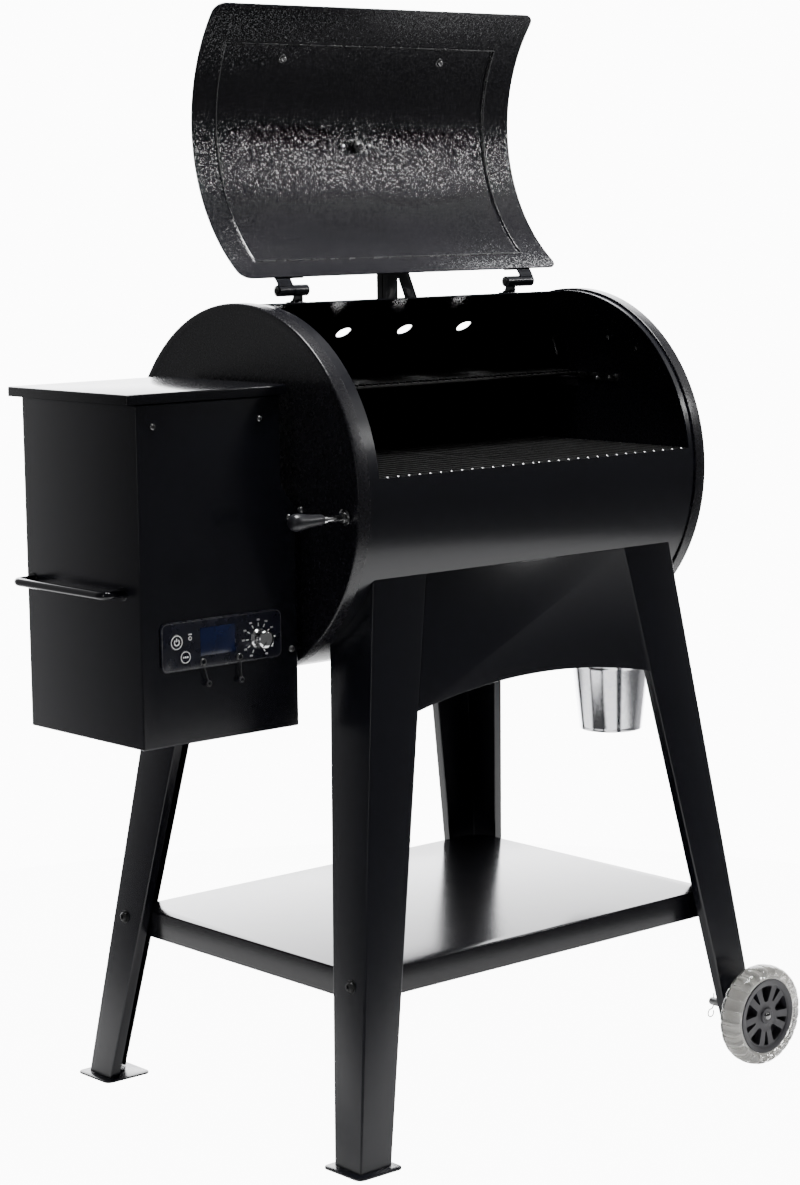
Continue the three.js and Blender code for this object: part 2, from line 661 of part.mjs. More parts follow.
function controlPanel() {
  const face = CABINET.front - GAP - 2.4;
  const back = CABINET.front - GAP;
  const plate = prism(
    roundedRectangle(PANEL.left, PANEL.right, PANEL.bottom, PANEL.top, 9), 'y', face, back);
  const housing = box(
    PANEL.left + 8.5, PANEL.right - 8.5, back - 1, back + 36, PANEL.bottom + 7.5, PANEL.top - 7.5);
  const jacks = JACKS.map((x) => rod('y', 5, face - 2.5, face + 1, x, JACK_Z, 16));
  const sockets = JACKS.map((x) => rod('y', 2.2, face - 5, face + 12, x, JACK_Z, 8));
  return cut(
    join(plate, housing, ...jacks),
    ...sockets,
    rod('y', POWER.radius + 0.4, face - 1, face + 6, POWER.x, POWER.z, 20),
    rod('y', PRIME.radius + 0.4, face - 1, face + 6, PRIME.x, PRIME.z, 20),
    rod('y', 4.4, face - 1, face + 14, DIAL.x, DIAL.z, 12),
    box(DISPLAY.left - 0.4, DISPLAY.right + 0.4, face - 1, face + 1.6,
      DISPLAY.bottom - 0.4, DISPLAY.top + 0.4));
}

function controls() {
  const face = CABINET.front - GAP - 2.4;
  place('control_panel', 'panel', controlPanel());
  place('display_window', 'display', box(
    DISPLAY.left, DISPLAY.right, face + 0.1, face + 1.2, DISPLAY.bottom, DISPLAY.top));
  place('temperature_knob', 'chrome', turned([
    [0, face - DIAL.length], [DIAL.radius - 2, face - DIAL.length],
    [DIAL.radius, face - DIAL.length + 2], [DIAL.radius + 1.5, face - 0.6], [4, face - 0.6],
    [4, face + 12], [0, face + 12]], 'y', 28).translate(DIAL.x, 0, DIAL.z));
  place('power_button', 'panel', rod('y', POWER.radius, face - 1.5, face + 2.5, POWER.x, POWER.z, 20));
  place('prime_button', 'panel', rod('y', PRIME.radius, face - 1.5, face + 2.5, PRIME.x, PRIME.z, 20));
  place('probe_cap_left', 'rubber', probeCap(JACKS[0], face, 19));
  place('probe_cap_right', 'rubber', probeCap(JACKS[1], face, 3));
}

// A rubber plug ring that hangs on its strap below a probe socket, swung to one side.
function probeCap(x, face, degrees) {
  const top = JACK_Z - 6;
  const strap = box(-1, 1, face - 3.4, face - 1.8, -21, -0.5);
  const ring = cut(
    rod('y', 4.2, face - 4.4, face - 1.2, 0, -24.5, 16),
    rod('y', 2.2, face - 6, face, 0, -24.5, 12));
  return join(strap, ring).rotateY(-degrees * RAD).translate(x, 0, top);
}

function hopper() {
  const { left, back } = CABINET;
  place('hopper_cabinet', 'powder', cabinetShell());
  place('hopper_lid', 'powder', hopperLid());
  place('hopper_bin', 'galvanized', pelletBin());
  place('hopper_safety_screen', 'steel', safetyScreen());
  const handleZ = AXIS_Z - 107;
  place('hopper_handle', 'gloss', bentTube([
    [left - GAP, -98, handleZ], [left - 30, -98, handleZ],
    [left - 30, 108, handleZ], [left - GAP, 108, handleZ]], 5.5, 12, 18, 5));
  place('power_inlet', 'rubber', turned([
    [0, back - 12], [9, back - 12], [9, back + GAP], [13, back + GAP], [12, back + 9], [6, back + 14],
    [0, back + 14]], 'y', 16).translate(-480, 0, AXIS_Z - 275));
  controls();
}

// ---- fuel feed, fan and fire pot -------------------------------------------------------

function augerScrew() {
  const turns = 5;
  const stepsPerTurn = 7;
  const from = AUGER.from + 4;
  const to = AUGER.to - 20;
  const core = 6;
  const flight = AUGER.radius - AUGER.wall - 1.5;
  const section = [
    [flight, -14], [flight, 14], [core, 40], [core, 110], [core, 180], [core, 250], [core, 320]];
  const rings = [];
  const steps = turns * stepsPerTurn;
  for (let i = 0; i <= steps; i += 1) {
    const twist = (i * 360) / stepsPerTurn;
    const along = from + ((to - from) * i) / steps;
    rings.push(section.map(([r, a]) => [
      r * Math.cos((a + twist) * RAD), r * Math.sin((a + twist) * RAD), along]));
  }
  return loft(rings).rotateY(Math.PI / 2).translate(0, 0, AUGER.z);
}

function fuelFeed() {
  const { z, radius, wall, from, to } = AUGER;
  place('auger_tube', 'steel', cut(
    rod('x', radius, from, to, 0, z, 24),
    rod('x', radius - wall, from - 1, to + 1, 0, z, 24),
    box(-522, -456, -17, 17, z + 8, z + radius + 1)));
  place('auger_screw', 'steel', augerScrew());
  place('auger_motor', 'castIron', join(
    box(-589, -548, -34, 34, z - 30, z + 34), rod('x', 14, -549, from - GAP, 0, z, 20)));
  place('combustion_fan_housing', 'castIron', turned([
    [25, FAN.from], [FAN.radius, FAN.from], [FAN.radius, FAN.to], [19, FAN.to], [19, FAN.to + 26],
    [0, FAN.to + 26], [0, FAN.to - 2], [FAN.radius - 2, FAN.to - 2], [FAN.radius - 2, FAN.from + 2],
    [25, FAN.from + 2], [25, FAN.from]], 'x', 28).translate(0, 0, FAN.z));
  const blades = [turned([[0, FAN.from + 8], [9, FAN.from + 8], [35, FAN.to - 6], [35, FAN.to - 4],
    [0, FAN.to - 4]], 'x', 20)];
  for (let i = 0; i < 8; i += 1) {
    blades.push(box(FAN.from + 9, FAN.to - 4.5, -1, 1, 8, 35).rotateX(i * 45 * RAD));
  }
  place('fan_impeller', 'steel', join(...blades).translate(0, 0, FAN.z));
  const { bottom, top } = POT;
  place('fire_pot', 'castIron', cut(
    turned([[0, bottom], [POT.radius, bottom], [POT.radius, top], [POT.radius - POT.wall, top],
      [POT.radius - POT.wall, bottom + POT.wall], [0, bottom + POT.wall]], 'z', 24),
    rod('x', radius - 2, -60, -30, 0, z, 20),
    rod('x', 4.4, -60, -30, 0, bottom + 22, 10)));
  place('igniter_rod', 'steel', rod('x', 4, -110, -22, 0, bottom + 22, 12));
}

// ---- heat spreader, broiler slide, grates ----------------------------------------------

const slope = (PLATE.top - PLATE.valley) / PLATE.edge;

function heatPlate() {
  const { edge, top, valley } = PLATE;
  const half = BARREL_HALF - 8;
  const sheet = prism([
    [-edge, top], [0, valley], [edge, top], [edge, top - SHEET], [0, valley - SHEET],
    [-edge, top - SHEET]], 'x', -half, half);
  const { from, to, slots, slotWidth, front, back } = BROIL;
  const pitch = (to - from - slotWidth) / (slots - 1);
  const windows = Array.from({ length: slots }, (_, i) => box(
    from + i * pitch, from + i * pitch + slotWidth, front, back, valley - 10, top));
  return cut(sheet, ...windows);
}

function broilerSlide() {
  const { y, z, rod: radius } = SLIDE;
  const line = (at, lift) => PLATE.top + lift - slope * (at + PLATE.edge);
  const plate = prism([
    [y - 4, z], [y + 4, z], [y + 4, line(y + 4, 7)], [-58, line(-58, 6)],
    [-58, line(-58, 4)], [y - 4, line(y - 4, 5)]], 'x', BROIL.from - 14, BROIL.to + 14);
  return join(plate, rod('x', radius, GRIP.inner, BROIL.to, y, z, 16));
}

function grate(x0, x1, y0, y1, top, bar, count, railX0, railX1, rails) {
  const pieces = rails.map((y) => box(railX0, railX1, y - bar / 2, y + bar / 2,
    top - 2 * bar + 0.7, top - bar + 0.7));
  for (let i = 0; i < count; i += 1) {
    const x = x0 + ((x1 - x0 - bar) * i) / (count - 1);
    pieces.push(box(x, x + bar, y0, y1, top - bar, top));
  }
  return join(...pieces);
}

function cookingGear() {
  place('flame_broiler_plate', 'castIron', heatPlate());
  place('broiler_slide', 'chrome', broilerSlide());
  place('broiler_grip', 'plastic', turned([
    [0, GRIP.outer], [9, GRIP.outer + 1], [11.5, GRIP.outer + 5], [11, GRIP.outer + 17],
    [7, GRIP.inner - 2], [SLIDE.rod, GRIP.inner - GAP], [0, GRIP.inner - GAP]],
  'x', 20).translate(0, SLIDE.y, SLIDE.z));
  place('broiler_rod_bushing', 'chrome', turned([
    [SLIDE.rod + 0.5, -335], [8, -335], [11, -332], [11, -BARREL_HALF - GAP],
    [SLIDE.rod + 0.5, -BARREL_HALF - GAP], [SLIDE.rod + 0.5, -335]], 'x', 20)
    .translate(0, SLIDE.y, SLIDE.z));
  const { top, bar, halfY } = GRATE;
  const rails = [-225, 0, 225];
  place('main_grate_left', 'castIron',
    grate(-311, -3, -halfY, halfY, top, bar, 9, -326, -3, rails));
  place('main_grate_right', 'castIron',
    grate(3, 311, -halfY, halfY, top, bar, 9, 3, 326, rails));
  place('upper_rack', 'castIron', grate(
    -RACK.half, RACK.half, RACK.front, RACK.back, RACK.z, RACK.bar, 13,
    -326, 326, [RACK.front + 4, RACK.back - 4]));
}

// ---- grease drain and bucket -----------------------------------------------------------

function drainSpout() {
  const { z, radius, end } = SPOUT;
  const cup = cut(
    box(297, 325, -22, 22, z - 15, z + 32),
    box(299.5, 322.5, -19.5, 19.5, z - 12, z + 40));
  const pipe = rod('x', radius, 321, end, 0, z, 20);
  const collar = rod('x', radius + 3, end - 3, end, 0, z, 20);
  return cut(join(cup, pipe, collar), rod('x', radius - 2, 318, end + 1, 0, z, 20));
}

function bucketGeometry() {
  const { bottom, height, rTop, rBottom } = BUCKET;
  const top = bottom + height;
  const wall = 1.6;
  const shell = turned([
    [0, bottom + 2], [rBottom - 2, bottom + 2], [rBottom - 1, bottom], [rBottom, bottom],
    [rTop, top - 3], [rTop + 2.5, top - 3], [rTop + 2.5, top], [rTop - wall, top],
    [rBottom - wall, bottom + 2 + wall], [0, bottom + 2 + wall]], 'z', 32);
  const ears = [-1, 1].map((side) => rod(
    'y', 4, side > 0 ? rTop - 1.5 : -rTop - 5, side > 0 ? rTop + 5 : -rTop + 1.5, 0, top - 10, 10));
  return join(shell, ...ears).translate(BUCKET.x, 0, 0);
}

// A wire bail whose eyes ride on the bucket's ears and whose top hangs on the spout.
function bailGeometry() {
  const earZ = BUCKET.bottom + BUCKET.height - 10;
  const y = BUCKET.rTop + 8;
  const crown = SPOUT.z + SPOUT.radius + 2.4;
  const wire = bentTube([
    [0, -y, earZ + 8], [0, -y, crown - 42], [0, -22, crown], [0, 22, crown], [0, y, crown - 42],
    [0, y, earZ + 8]], 2, 14, 22, 3);
  const eyes = [-1, 1].map((side) => {
    const ends = [side * (y - 2), side * (y + 2)].sort((a, b) => a - b);
    return cut(rod('y', 9, ...ends, 0, earZ, 16), rod('y', 4.5, -y - 5, y + 5, 0, earZ, 12));
  });
  return join(wire, ...eyes).translate(BUCKET.x, 0, 0);
}

function greaseGear() {
  place('drain_spout', 'powder', drainSpout());
  place('grease_bucket', 'galvanized', bucketGeometry());
  place('bucket_bail', 'steel', bailGeometry());
}

// ---- assembly --------------------------------------------------------------------------
barrel();
stand();
wheels();
lid();
place('hinge_bracket_left', 'powder', hingeBracket(HINGE_X[0], -1));
place('hinge_bracket_right', 'powder', hingeBracket(HINGE_X[1], 1));
hopper();
fuelFeed();
cookingGear();
greaseGear();

grill.updateMatrixWorld(true);
const extent = new THREE.Box3().setFromObject(grill, true);
const middle = extent.getCenter(new THREE.Vector3());
grill.position.set(-middle.x, -middle.y, -extent.min.z);

export default grill;
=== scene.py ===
"""Looks of the pellet smoker grill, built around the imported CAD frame.

Lengths in this script are millimetres in the grill's own frame: X along the barrel, Y to the
back, Z up, with the origin on the barrel's axis. at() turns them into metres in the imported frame.
"""

import math

import bmesh
import bpy
from mathutils import Matrix, Vector

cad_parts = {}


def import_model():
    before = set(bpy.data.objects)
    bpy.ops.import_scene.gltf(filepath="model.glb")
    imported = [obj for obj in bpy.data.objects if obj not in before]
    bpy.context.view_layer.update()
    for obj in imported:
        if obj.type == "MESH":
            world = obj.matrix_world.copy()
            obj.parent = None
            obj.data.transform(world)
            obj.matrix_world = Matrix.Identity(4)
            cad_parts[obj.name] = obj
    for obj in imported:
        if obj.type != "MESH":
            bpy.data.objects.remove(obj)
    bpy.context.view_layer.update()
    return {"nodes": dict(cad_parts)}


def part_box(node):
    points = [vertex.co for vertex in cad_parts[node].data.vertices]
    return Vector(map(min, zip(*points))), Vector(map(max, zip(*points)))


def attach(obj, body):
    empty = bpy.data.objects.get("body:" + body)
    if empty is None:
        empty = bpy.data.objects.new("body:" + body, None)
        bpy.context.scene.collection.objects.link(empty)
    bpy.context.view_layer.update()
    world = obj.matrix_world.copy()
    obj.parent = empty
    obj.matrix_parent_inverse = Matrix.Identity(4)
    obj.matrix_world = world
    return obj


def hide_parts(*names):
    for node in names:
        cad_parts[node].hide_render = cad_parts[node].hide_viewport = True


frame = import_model()

# ---- frame and driving dimensions ----
left_low, left_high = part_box("left_end_cap")
right_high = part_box("right_end_cap")[1]
ORIGIN = Vector(((left_low.x + right_high.x) / 2, 0.0, (left_low.z + left_high.z) / 2))
MM = 0.001
AXIS_Z = ORIGIN.z / MM  # height of the barrel's axis above the floor
FLOOR = -AXIS_Z

BARREL_R = 250.0
SHEET = 2.0
GAP = 0.35  # left between parts that touch, as in the CAD
BARREL_HALF = (right_high.x - left_low.x) / 2 / MM
CAP_RIM = 20.0
CAP_R = (left_high.z - left_low.z) / 2 / MM
OPENING = {"left": -290.0, "right": 298.5, "rear": -2.5, "front": 83.6}
LID = {"left": -295.5, "right": 303.5, "rear": -2.5, "front": 94.0, "radius": 252.8}
LID_SHEET = 1.8
LID_CORNER = 17.0
EMBOSS = {"left": -254.0, "right": 251.0, "rear": 5.2, "front": 80.0, "depth": 2.0, "bead": 1.0}
HINGE_Y, HINGE_Z = 23.0, 266.0
LID_OPEN = math.radians(143.0)
HINGE_X = (-211.5, 219.5)
THERMOMETER = 46.8
HANDLE_ANGLE, HANDLE_X, HANDLE_R = 75.0, (-146.0, 150.0), 12.5
HANDLE_RADIUS = LID["radius"] + 46.0
RAISED_R = LID["radius"] + EMBOSS["depth"]  # outside of the lid's pressed rectangle
LEG_TOP = {"x": 283.0, "y": 226.0, "z": -114.0, "width": 94.0}
LEG_FOOT = {"x": 392.0, "y": 309.5, "z": FLOOR + 3.0, "width": 54.6}
SHELF_TOP = -628.0
WHEEL_X, WHEEL_Z, WHEEL_R, HUB_R = 357.0, FLOOR + 74.0, 74.0, 55.0
WHEEL_OUT, WHEEL_IN = 354.0, 320.0
CABINET = {"left": -596.0, "upper": -363.0, "lower": -340.0, "front": -134.5, "back": 123.0}
CABINET_Z = {"bottom": -307.5, "top": 137.4, "step": 16.0, "step_end": -12.0}
HOPPER_LID = {"left": -613.0, "right": -354.0, "front": -140.0, "back": 130.5, "height": 13.0}
PANEL = {"left": -567.0, "right": -369.5, "bottom": -210.0, "top": -145.5}
FACE = CABINET["front"] - GAP - 2.4  # the face of the panel, which is 2.4 thick
DIAL, POWER, PRIME, LAMP = (-408.6, -181.5), (-543.4, -171.7), (-529.6, -192.4), (-520.7, -168.7)
DISPLAY = {"left": -504.0, "right": -447.0, "bottom": -194.0, "top": -157.0}
JACKS, JACK_Z = (-501.0, -441.0), -202.0
SLIDE_Y, SLIDE_Z, ROD_R = -224.0, -21.0, 4.6
SLIDE_AXIS = (0.0, SLIDE_Y, SLIDE_Z)
GRATE_TOP, RACK_Z = 27.0, 131.0
BUCKET_X, BUCKET_BOTTOM, BUCKET_HEIGHT = 388.0, -427.0, 132.0
SPOUT_Z, SPOUT_R, SPOUT_END = -222.0, 13.0, 396.0
AUGER_Z = -168.0
INLET = (-480.0, 0.0, -275.0)  # the power socket's axis on the cabinet's back


def at(point):
    """A point in millimetres in the grill's frame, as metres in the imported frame."""
    return ORIGIN + Vector(point) * MM


# ---- materials ----
def node(tree, kind, inputs=(), operation=None):
    """A new node with values on some of its sockets, which are given by name or by number."""
    new = tree.nodes.new("ShaderNode" + kind)
    if operation:
        new.operation = operation
    for socket, value in dict(inputs).items():
        new.inputs[socket].default_value = value
    return new


class Shader:
    """One procedural material, its textures laid out on the object's own metres."""

    def __init__(self, name, color, roughness, metallic=0.0, specular=0.5):
        self.material = bpy.data.materials.new(name)
        self.material.use_nodes = True
        self.tree = self.material.node_tree
        self.link = self.tree.links.new
        self.shader = self.tree.nodes["Principled BSDF"]
        self.set("Base Color", (*color, 1.0))
        self.set("Roughness", roughness)
        self.set("Metallic", metallic)
        self.set("Specular IOR Level", specular)
        self.coordinates = node(self.tree, "TexCoord").outputs["Object"]
        self.height = None

    def set(self, socket, value):
        self.shader.inputs[socket].default_value = value

    def texture(self, kind, inputs, stretch=(1, 1, 1)):
        mapping = node(self.tree, "Mapping", {"Scale": stretch})
        texture = node(self.tree, kind, inputs)
        self.link(self.coordinates, mapping.inputs["Vector"])
        self.link(mapping.outputs["Vector"], texture.inputs["Vector"])
        return texture

    def noise(self, scale, detail=3.0, roughness=0.55, stretch=(1, 1, 1)):
        inputs = {"Scale": scale, "Detail": detail, "Roughness": roughness}
        return self.texture("TexNoise", inputs, stretch).outputs["Fac"]

    def cells(self, scale):
        return self.texture("TexVoronoi", {"Scale": scale}).outputs["Color"]

    def vary_color(self, value, low, high, start=0.3, end=0.7):
        """Runs the colour from low to high as the value goes from start to end."""
        ramp = node(self.tree, "ValToRGB")
        for element, position, color in zip(
                ramp.color_ramp.elements, (start, end), (low, high)):
            element.position, element.color = position, (*color, 1.0)
        self.link(value, ramp.inputs["Fac"])
        self.link(ramp.outputs["Color"], self.shader.inputs["Base Color"])

    def vary_roughness(self, value, low, high, start=0.3, end=0.7):
        spread = node(self.tree, "MapRange", {
            "From Min": start, "From Max": end, "To Min": low, "To Max": high})
        self.link(value, spread.inputs["Value"])
        self.link(spread.outputs["Result"], self.shader.inputs["Roughness"])

    def bump(self, value, strength, distance):
        """Adds a relief, on top of the ones before it."""
        relief = node(self.tree, "Bump", {"Strength": strength, "Distance": distance})
        self.link(value, relief.inputs["Height"])
        if self.height is not None:
            self.link(self.height, relief.inputs["Normal"])
        self.height = relief.outputs["Normal"]
        self.link(self.height, self.shader.inputs["Normal"])


def grey(level):
    return (level, level, level)


def tone(color, factor):
    """A colour made lighter or darker."""
    return tuple(c * factor for c in color)


def powder_coat(name, color, roughness, peel=0.10):
    """Satin powder coat: a fine orange peel over a faint change of gloss."""
    s = Shader(name, color, roughness, specular=0.42)
    s.vary_color(s.noise(9, 4), tone(color, 0.9), tone(color, 1.1))
    s.vary_roughness(s.noise(140, 4), roughness - 0.015, roughness + 0.02)
    s.bump(s.noise(900, 2), peel, 0.0003)
    s.bump(s.noise(260, 2), peel * 0.4, 0.0004)
    return s.material


GRAIN_TILT = 0.29  # how far a grain of the lid's coat leans, as a share of its normal


def textured_coat(name):
    """Coarse high-heat coat on the inside of the lid: each grain tilts its own way and glints."""
    s = Shader(name, (0.0085, 0.0080, 0.0105), 0.24, specular=0.5)
    s.vary_color(s.noise(14, 4), (0.0065, 0.0062, 0.0085), (0.0105, 0.0100, 0.0130))
    s.vary_roughness(s.noise(420, 3), 0.10, 0.26, 0.4, 0.62)
    s.bump(s.noise(500, 3, 0.7), 0.20, 0.0004)
    tilt = node(s.tree, "VectorMath", {1: grey(GRAIN_TILT), 2: grey(-GRAIN_TILT / 2)},
                "MULTIPLY_ADD")
    turned = node(s.tree, "VectorMath", operation="ADD")
    even = node(s.tree, "VectorMath", operation="NORMALIZE")
    s.link(s.cells(720), tilt.inputs[0])
    s.link(tilt.outputs["Vector"], turned.inputs[0])
    s.link(s.height, turned.inputs[1])
    s.link(turned.outputs["Vector"], even.inputs[0])
    s.link(even.outputs["Vector"], s.shader.inputs["Normal"])
    return s.material


def brushed(name, color, roughness, stretch):
    s = Shader(name, color, roughness, metallic=1.0)
    s.vary_roughness(s.noise(60, 4, 0.6, stretch), roughness - 0.08, roughness + 0.10)
    s.vary_color(s.noise(18, 4), tone(color, 0.86), color)
    s.bump(s.noise(220, 3, 0.6, stretch), 0.08, 0.0003)
    return s.material


def chrome(name, level=0.78, roughness=0.08):
    s = Shader(name, grey(level), roughness, metallic=1.0)
    s.vary_roughness(s.noise(45, 4), roughness * 0.6, roughness * 1.7)
    s.vary_color(s.noise(12, 3), grey(level * 0.9), grey(level))
    return s.material


def galvanised(name):
    """Zinc spangle: irregular flakes that differ a little in shade and gloss."""
    s = Shader(name, (0.92, 0.92, 0.95), 0.14, metallic=1.0)
    s.vary_color(s.cells(170), (0.84, 0.84, 0.88), (0.95, 0.95, 0.98), 0.1, 0.9)
    s.vary_roughness(s.noise(300, 4), 0.10, 0.20)
    s.bump(s.noise(700, 2), 0.16, 0.00012)
    return s.material


def cast(name, level, roughness, grain):
    s = Shader(name, grey(level), roughness, specular=0.2)
    s.vary_color(s.noise(22, 5), grey(level * 0.65), grey(level * 1.5))
    s.vary_roughness(s.noise(80, 4), roughness - 0.12, min(1.0, roughness + 0.12))
    s.bump(s.noise(grain, 4, 0.65), 0.35, 0.0009)
    return s.material


def moulded(name, color, roughness):
    s = Shader(name, color, roughness, specular=0.45)
    s.vary_color(s.noise(30, 4), tone(color, 0.85), tone(color, 1.12))
    s.vary_roughness(s.noise(70, 4), roughness - 0.06, roughness + 0.08)
    s.bump(s.noise(1500, 2), 0.12, 0.0003)
    return s.material


def clear_tyre(name):
    s = Shader(name, (0.90, 0.89, 0.86), 0.08, specular=0.5)
    s.set("Transmission Weight", 0.95)
    s.set("IOR", 1.45)
    s.vary_roughness(s.noise(120, 4), 0.03, 0.14)
    s.bump(s.noise(200, 2), 0.10, 0.0006)
    return s.material


def printed(name, level):
    s = Shader(name, grey(level), 0.45)
    s.vary_color(s.noise(700, 2), grey(level * 0.82), grey(level))
    return s.material


def display_blue(name):
    s = Shader(name, (0.004, 0.008, 0.034), 0.16)
    s.vary_color(s.noise(45, 2), (0.0035, 0.007, 0.030), (0.005, 0.010, 0.042))
    return s.material


def lens(name):
    s = Shader(name, (0.96, 0.97, 0.97), 0.04)
    s.set("Transmission Weight", 0.96)
    s.vary_roughness(s.noise(90, 3), 0.02, 0.06)
    return s.material


BLACK = (0.0034, 0.0036, 0.0060)
MAT = {
    "powder": powder_coat("powder_black", BLACK, 0.24),
    "cap": powder_coat("powder_caps", (0.0050, 0.0048, 0.0068), 0.27, 0.05),
    "shelf": powder_coat("powder_shelf", (0.0030, 0.0030, 0.0044), 0.17, 0.10),
    "inside": powder_coat("oven_black", (0.016, 0.0145, 0.0175), 0.5, 0.16),
    "enamel": textured_coat("lid_coat"),
    "gloss": powder_coat("gloss_black", (0.003, 0.003, 0.005), 0.12, 0.02),
    "bolt": cast("black_oxide", 0.012, 0.30, 900),
    "steel": brushed("plain_steel", (0.50, 0.50, 0.51), 0.30, (1, 1, 6)),
    "bar": brushed("brushed_bar", (0.60, 0.60, 0.60), 0.24, (0.15, 8, 8)),
    "chrome": chrome("bright_chrome"),
    "rod": chrome("smoked_chrome", 0.62, 0.14),
    "galvanised": galvanised("galvanised_sheet"),
    "iron": cast("coated_iron", 0.012, 0.50, 420),
    "grate": cast("seasoned_grate", 0.0045, 0.50, 500),
    "motor": cast("motor_paint", 0.03, 0.55, 500),
    "hub": moulded("hub_plastic", (0.020, 0.019, 0.023), 0.42),
    "grip": moulded("grip_plastic", (0.012, 0.012, 0.015), 0.36),
    "rubber": moulded("soft_rubber", (0.020, 0.020, 0.022), 0.60),
    "tyre": clear_tyre("clear_polyurethane"),
    "rib": moulded("tyre_ribs", (0.66, 0.65, 0.63), 0.30),
    "screw": chrome("dark_zinc", 0.22, 0.24),
    "panel": moulded("panel_film", (0.0040, 0.0045, 0.0105), 0.28),
    "print": printed("panel_print", 0.92),
    "outline": printed("panel_outline", 0.10),
    "dial_face": printed("dial_face", 0.80),
    "ink": printed("dial_ink", 0.015),
    "needle": moulded("needle_red", (0.45, 0.02, 0.015), 0.35),
    "display": display_blue("display_blue"),
    "lens": lens("gauge_lens"),
}

# ---- mesh building ----
SHARP = math.radians(32)


def moved(mesh, matrix):
    bmesh.ops.transform(mesh, matrix=matrix, verts=mesh.verts)
    return mesh


def data_of(name, mesh):
    """The bmesh as mesh data; the bmesh is used up."""
    data = bpy.data.meshes.new(name)
    mesh.to_mesh(data)
    mesh.free()
    return data


def placed(name, data):
    """A new object in the scene."""
    thing = bpy.data.objects.new(name, data)
    bpy.context.scene.collection.objects.link(thing)
    return thing


def evaluated(thing):
    """A bmesh of an object as it stands, with its modifiers applied."""
    final = thing.evaluated_get(bpy.context.evaluated_depsgraph_get())
    mesh = bmesh.new()
    mesh.from_mesh(final.to_mesh())
    final.to_mesh_clear()
    return mesh


def stitch(mesh, rings):
    """Faces between each ring of vertices and the next; a ring may also be a single point."""
    for low, high in zip(rings, rings[1:]):
        count = max(len(low), len(high))
        for i in range(count):
            j = (i + 1) % count
            corners = list(dict.fromkeys(
                (low[i % len(low)], low[j % len(low)], high[j % len(high)], high[i % len(high)])))
            if len(corners) > 2:
                mesh.faces.new(corners)


def circle(radius, count):
    angles = [math.tau * i / count for i in range(count)]
    return [(radius * math.cos(a), radius * math.sin(a)) for a in angles]


def piece(name, mesh, body, material, replaces=(), turn=None):
    """Makes the object from a bmesh in millimetres and hands it to the frame."""
    if turn is not None:
        moved(mesh, turn)
    for v in mesh.verts:
        v.co = at(v.co)
    bmesh.ops.recalc_face_normals(mesh, faces=mesh.faces)
    for face in mesh.faces:
        face.smooth = True
    for edge in mesh.edges:
        if len(edge.link_faces) == 2 and edge.calc_face_angle(0.0) > SHARP:
            edge.smooth = False
    data = data_of(name, mesh)
    data.materials.append(MAT[material])
    thing = placed(name, data)
    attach(thing, body)
    if replaces:
        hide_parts(*replaces)


def merged(*meshes):
    """One bmesh out of several."""
    whole = meshes[0]
    for extra in meshes[1:]:
        data = data_of("join", extra)
        whole.from_mesh(data)
        bpy.data.meshes.remove(data)
    return whole


def cut(body, *tools):
    """The body less the tools, by an exact boolean. All are closed bmeshes."""
    objects = []
    for mesh in (body, *tools):
        bmesh.ops.recalc_face_normals(mesh, faces=mesh.faces)
        objects.append(placed("cut", data_of("cut", mesh)))
    base = objects[0]
    for tool in objects[1:]:
        modifier = base.modifiers.new("cut", "BOOLEAN")
        modifier.operation = "DIFFERENCE"
        modifier.solver = "EXACT"
        modifier.object = tool
    result = evaluated(base)
    for thing in objects:
        data = thing.data
        bpy.data.objects.remove(thing)
        bpy.data.meshes.remove(data)
    return result


def rounded(mesh, width, segments=3, angle=30.0, choose=None):
    """Rounds the edges sharper than an angle."""
    edges = [
        e for e in mesh.edges
        if len(e.link_faces) == 2 and e.calc_face_angle(0.0) > math.radians(angle)
        and (choose is None or choose(e))]
    bmesh.ops.bevel(
        mesh, geom=edges, offset=width, segments=segments, profile=0.5, affect="EDGES",
        clamp_overlap=True)
    return mesh


def box(x0, x1, y0, y1, z0, z1, bevel=0.0, segments=2):
    mesh = bmesh.new()
    bmesh.ops.create_cube(mesh, size=1.0)
    size = Matrix.Diagonal((x1 - x0, y1 - y0, z1 - z0, 1))
    moved(mesh, Matrix.Translation(((x0 + x1) / 2, (y0 + y1) / 2, (z0 + z1) / 2)) @ size)
    if bevel:
        rounded(mesh, bevel, segments)
    return mesh


AXES = {
    "x": Matrix(((0, 0, 1, 0), (1, 0, 0, 0), (0, 1, 0, 0), (0, 0, 0, 1))),
    "y": Matrix(((1, 0, 0, 0), (0, 0, 1, 0), (0, 1, 0, 0), (0, 0, 0, 1))),
    "z": Matrix.Identity(4),
}


def prism(outline, axis, start, end, bevel=0.0, segments=2):
    """An outline of (u, v) pushed along an axis: (y, z) for x, (x, z) for y, (x, y) for z."""
    mesh = bmesh.new()
    rings = [[mesh.verts.new((u, v, h)) for u, v in outline] for h in (start, end)]
    count = len(outline)
    mesh.faces.new(rings[0])
    mesh.faces.new(reversed(rings[1]))
    for i in range(count):
        j = (i + 1) % count
        mesh.faces.new((rings[0][i], rings[1][i], rings[1][j], rings[0][j]))
    moved(mesh, AXES[axis])
    bmesh.ops.recalc_face_normals(mesh, faces=mesh.faces)
    if bevel:
        rounded(mesh, bevel, segments)
    return mesh


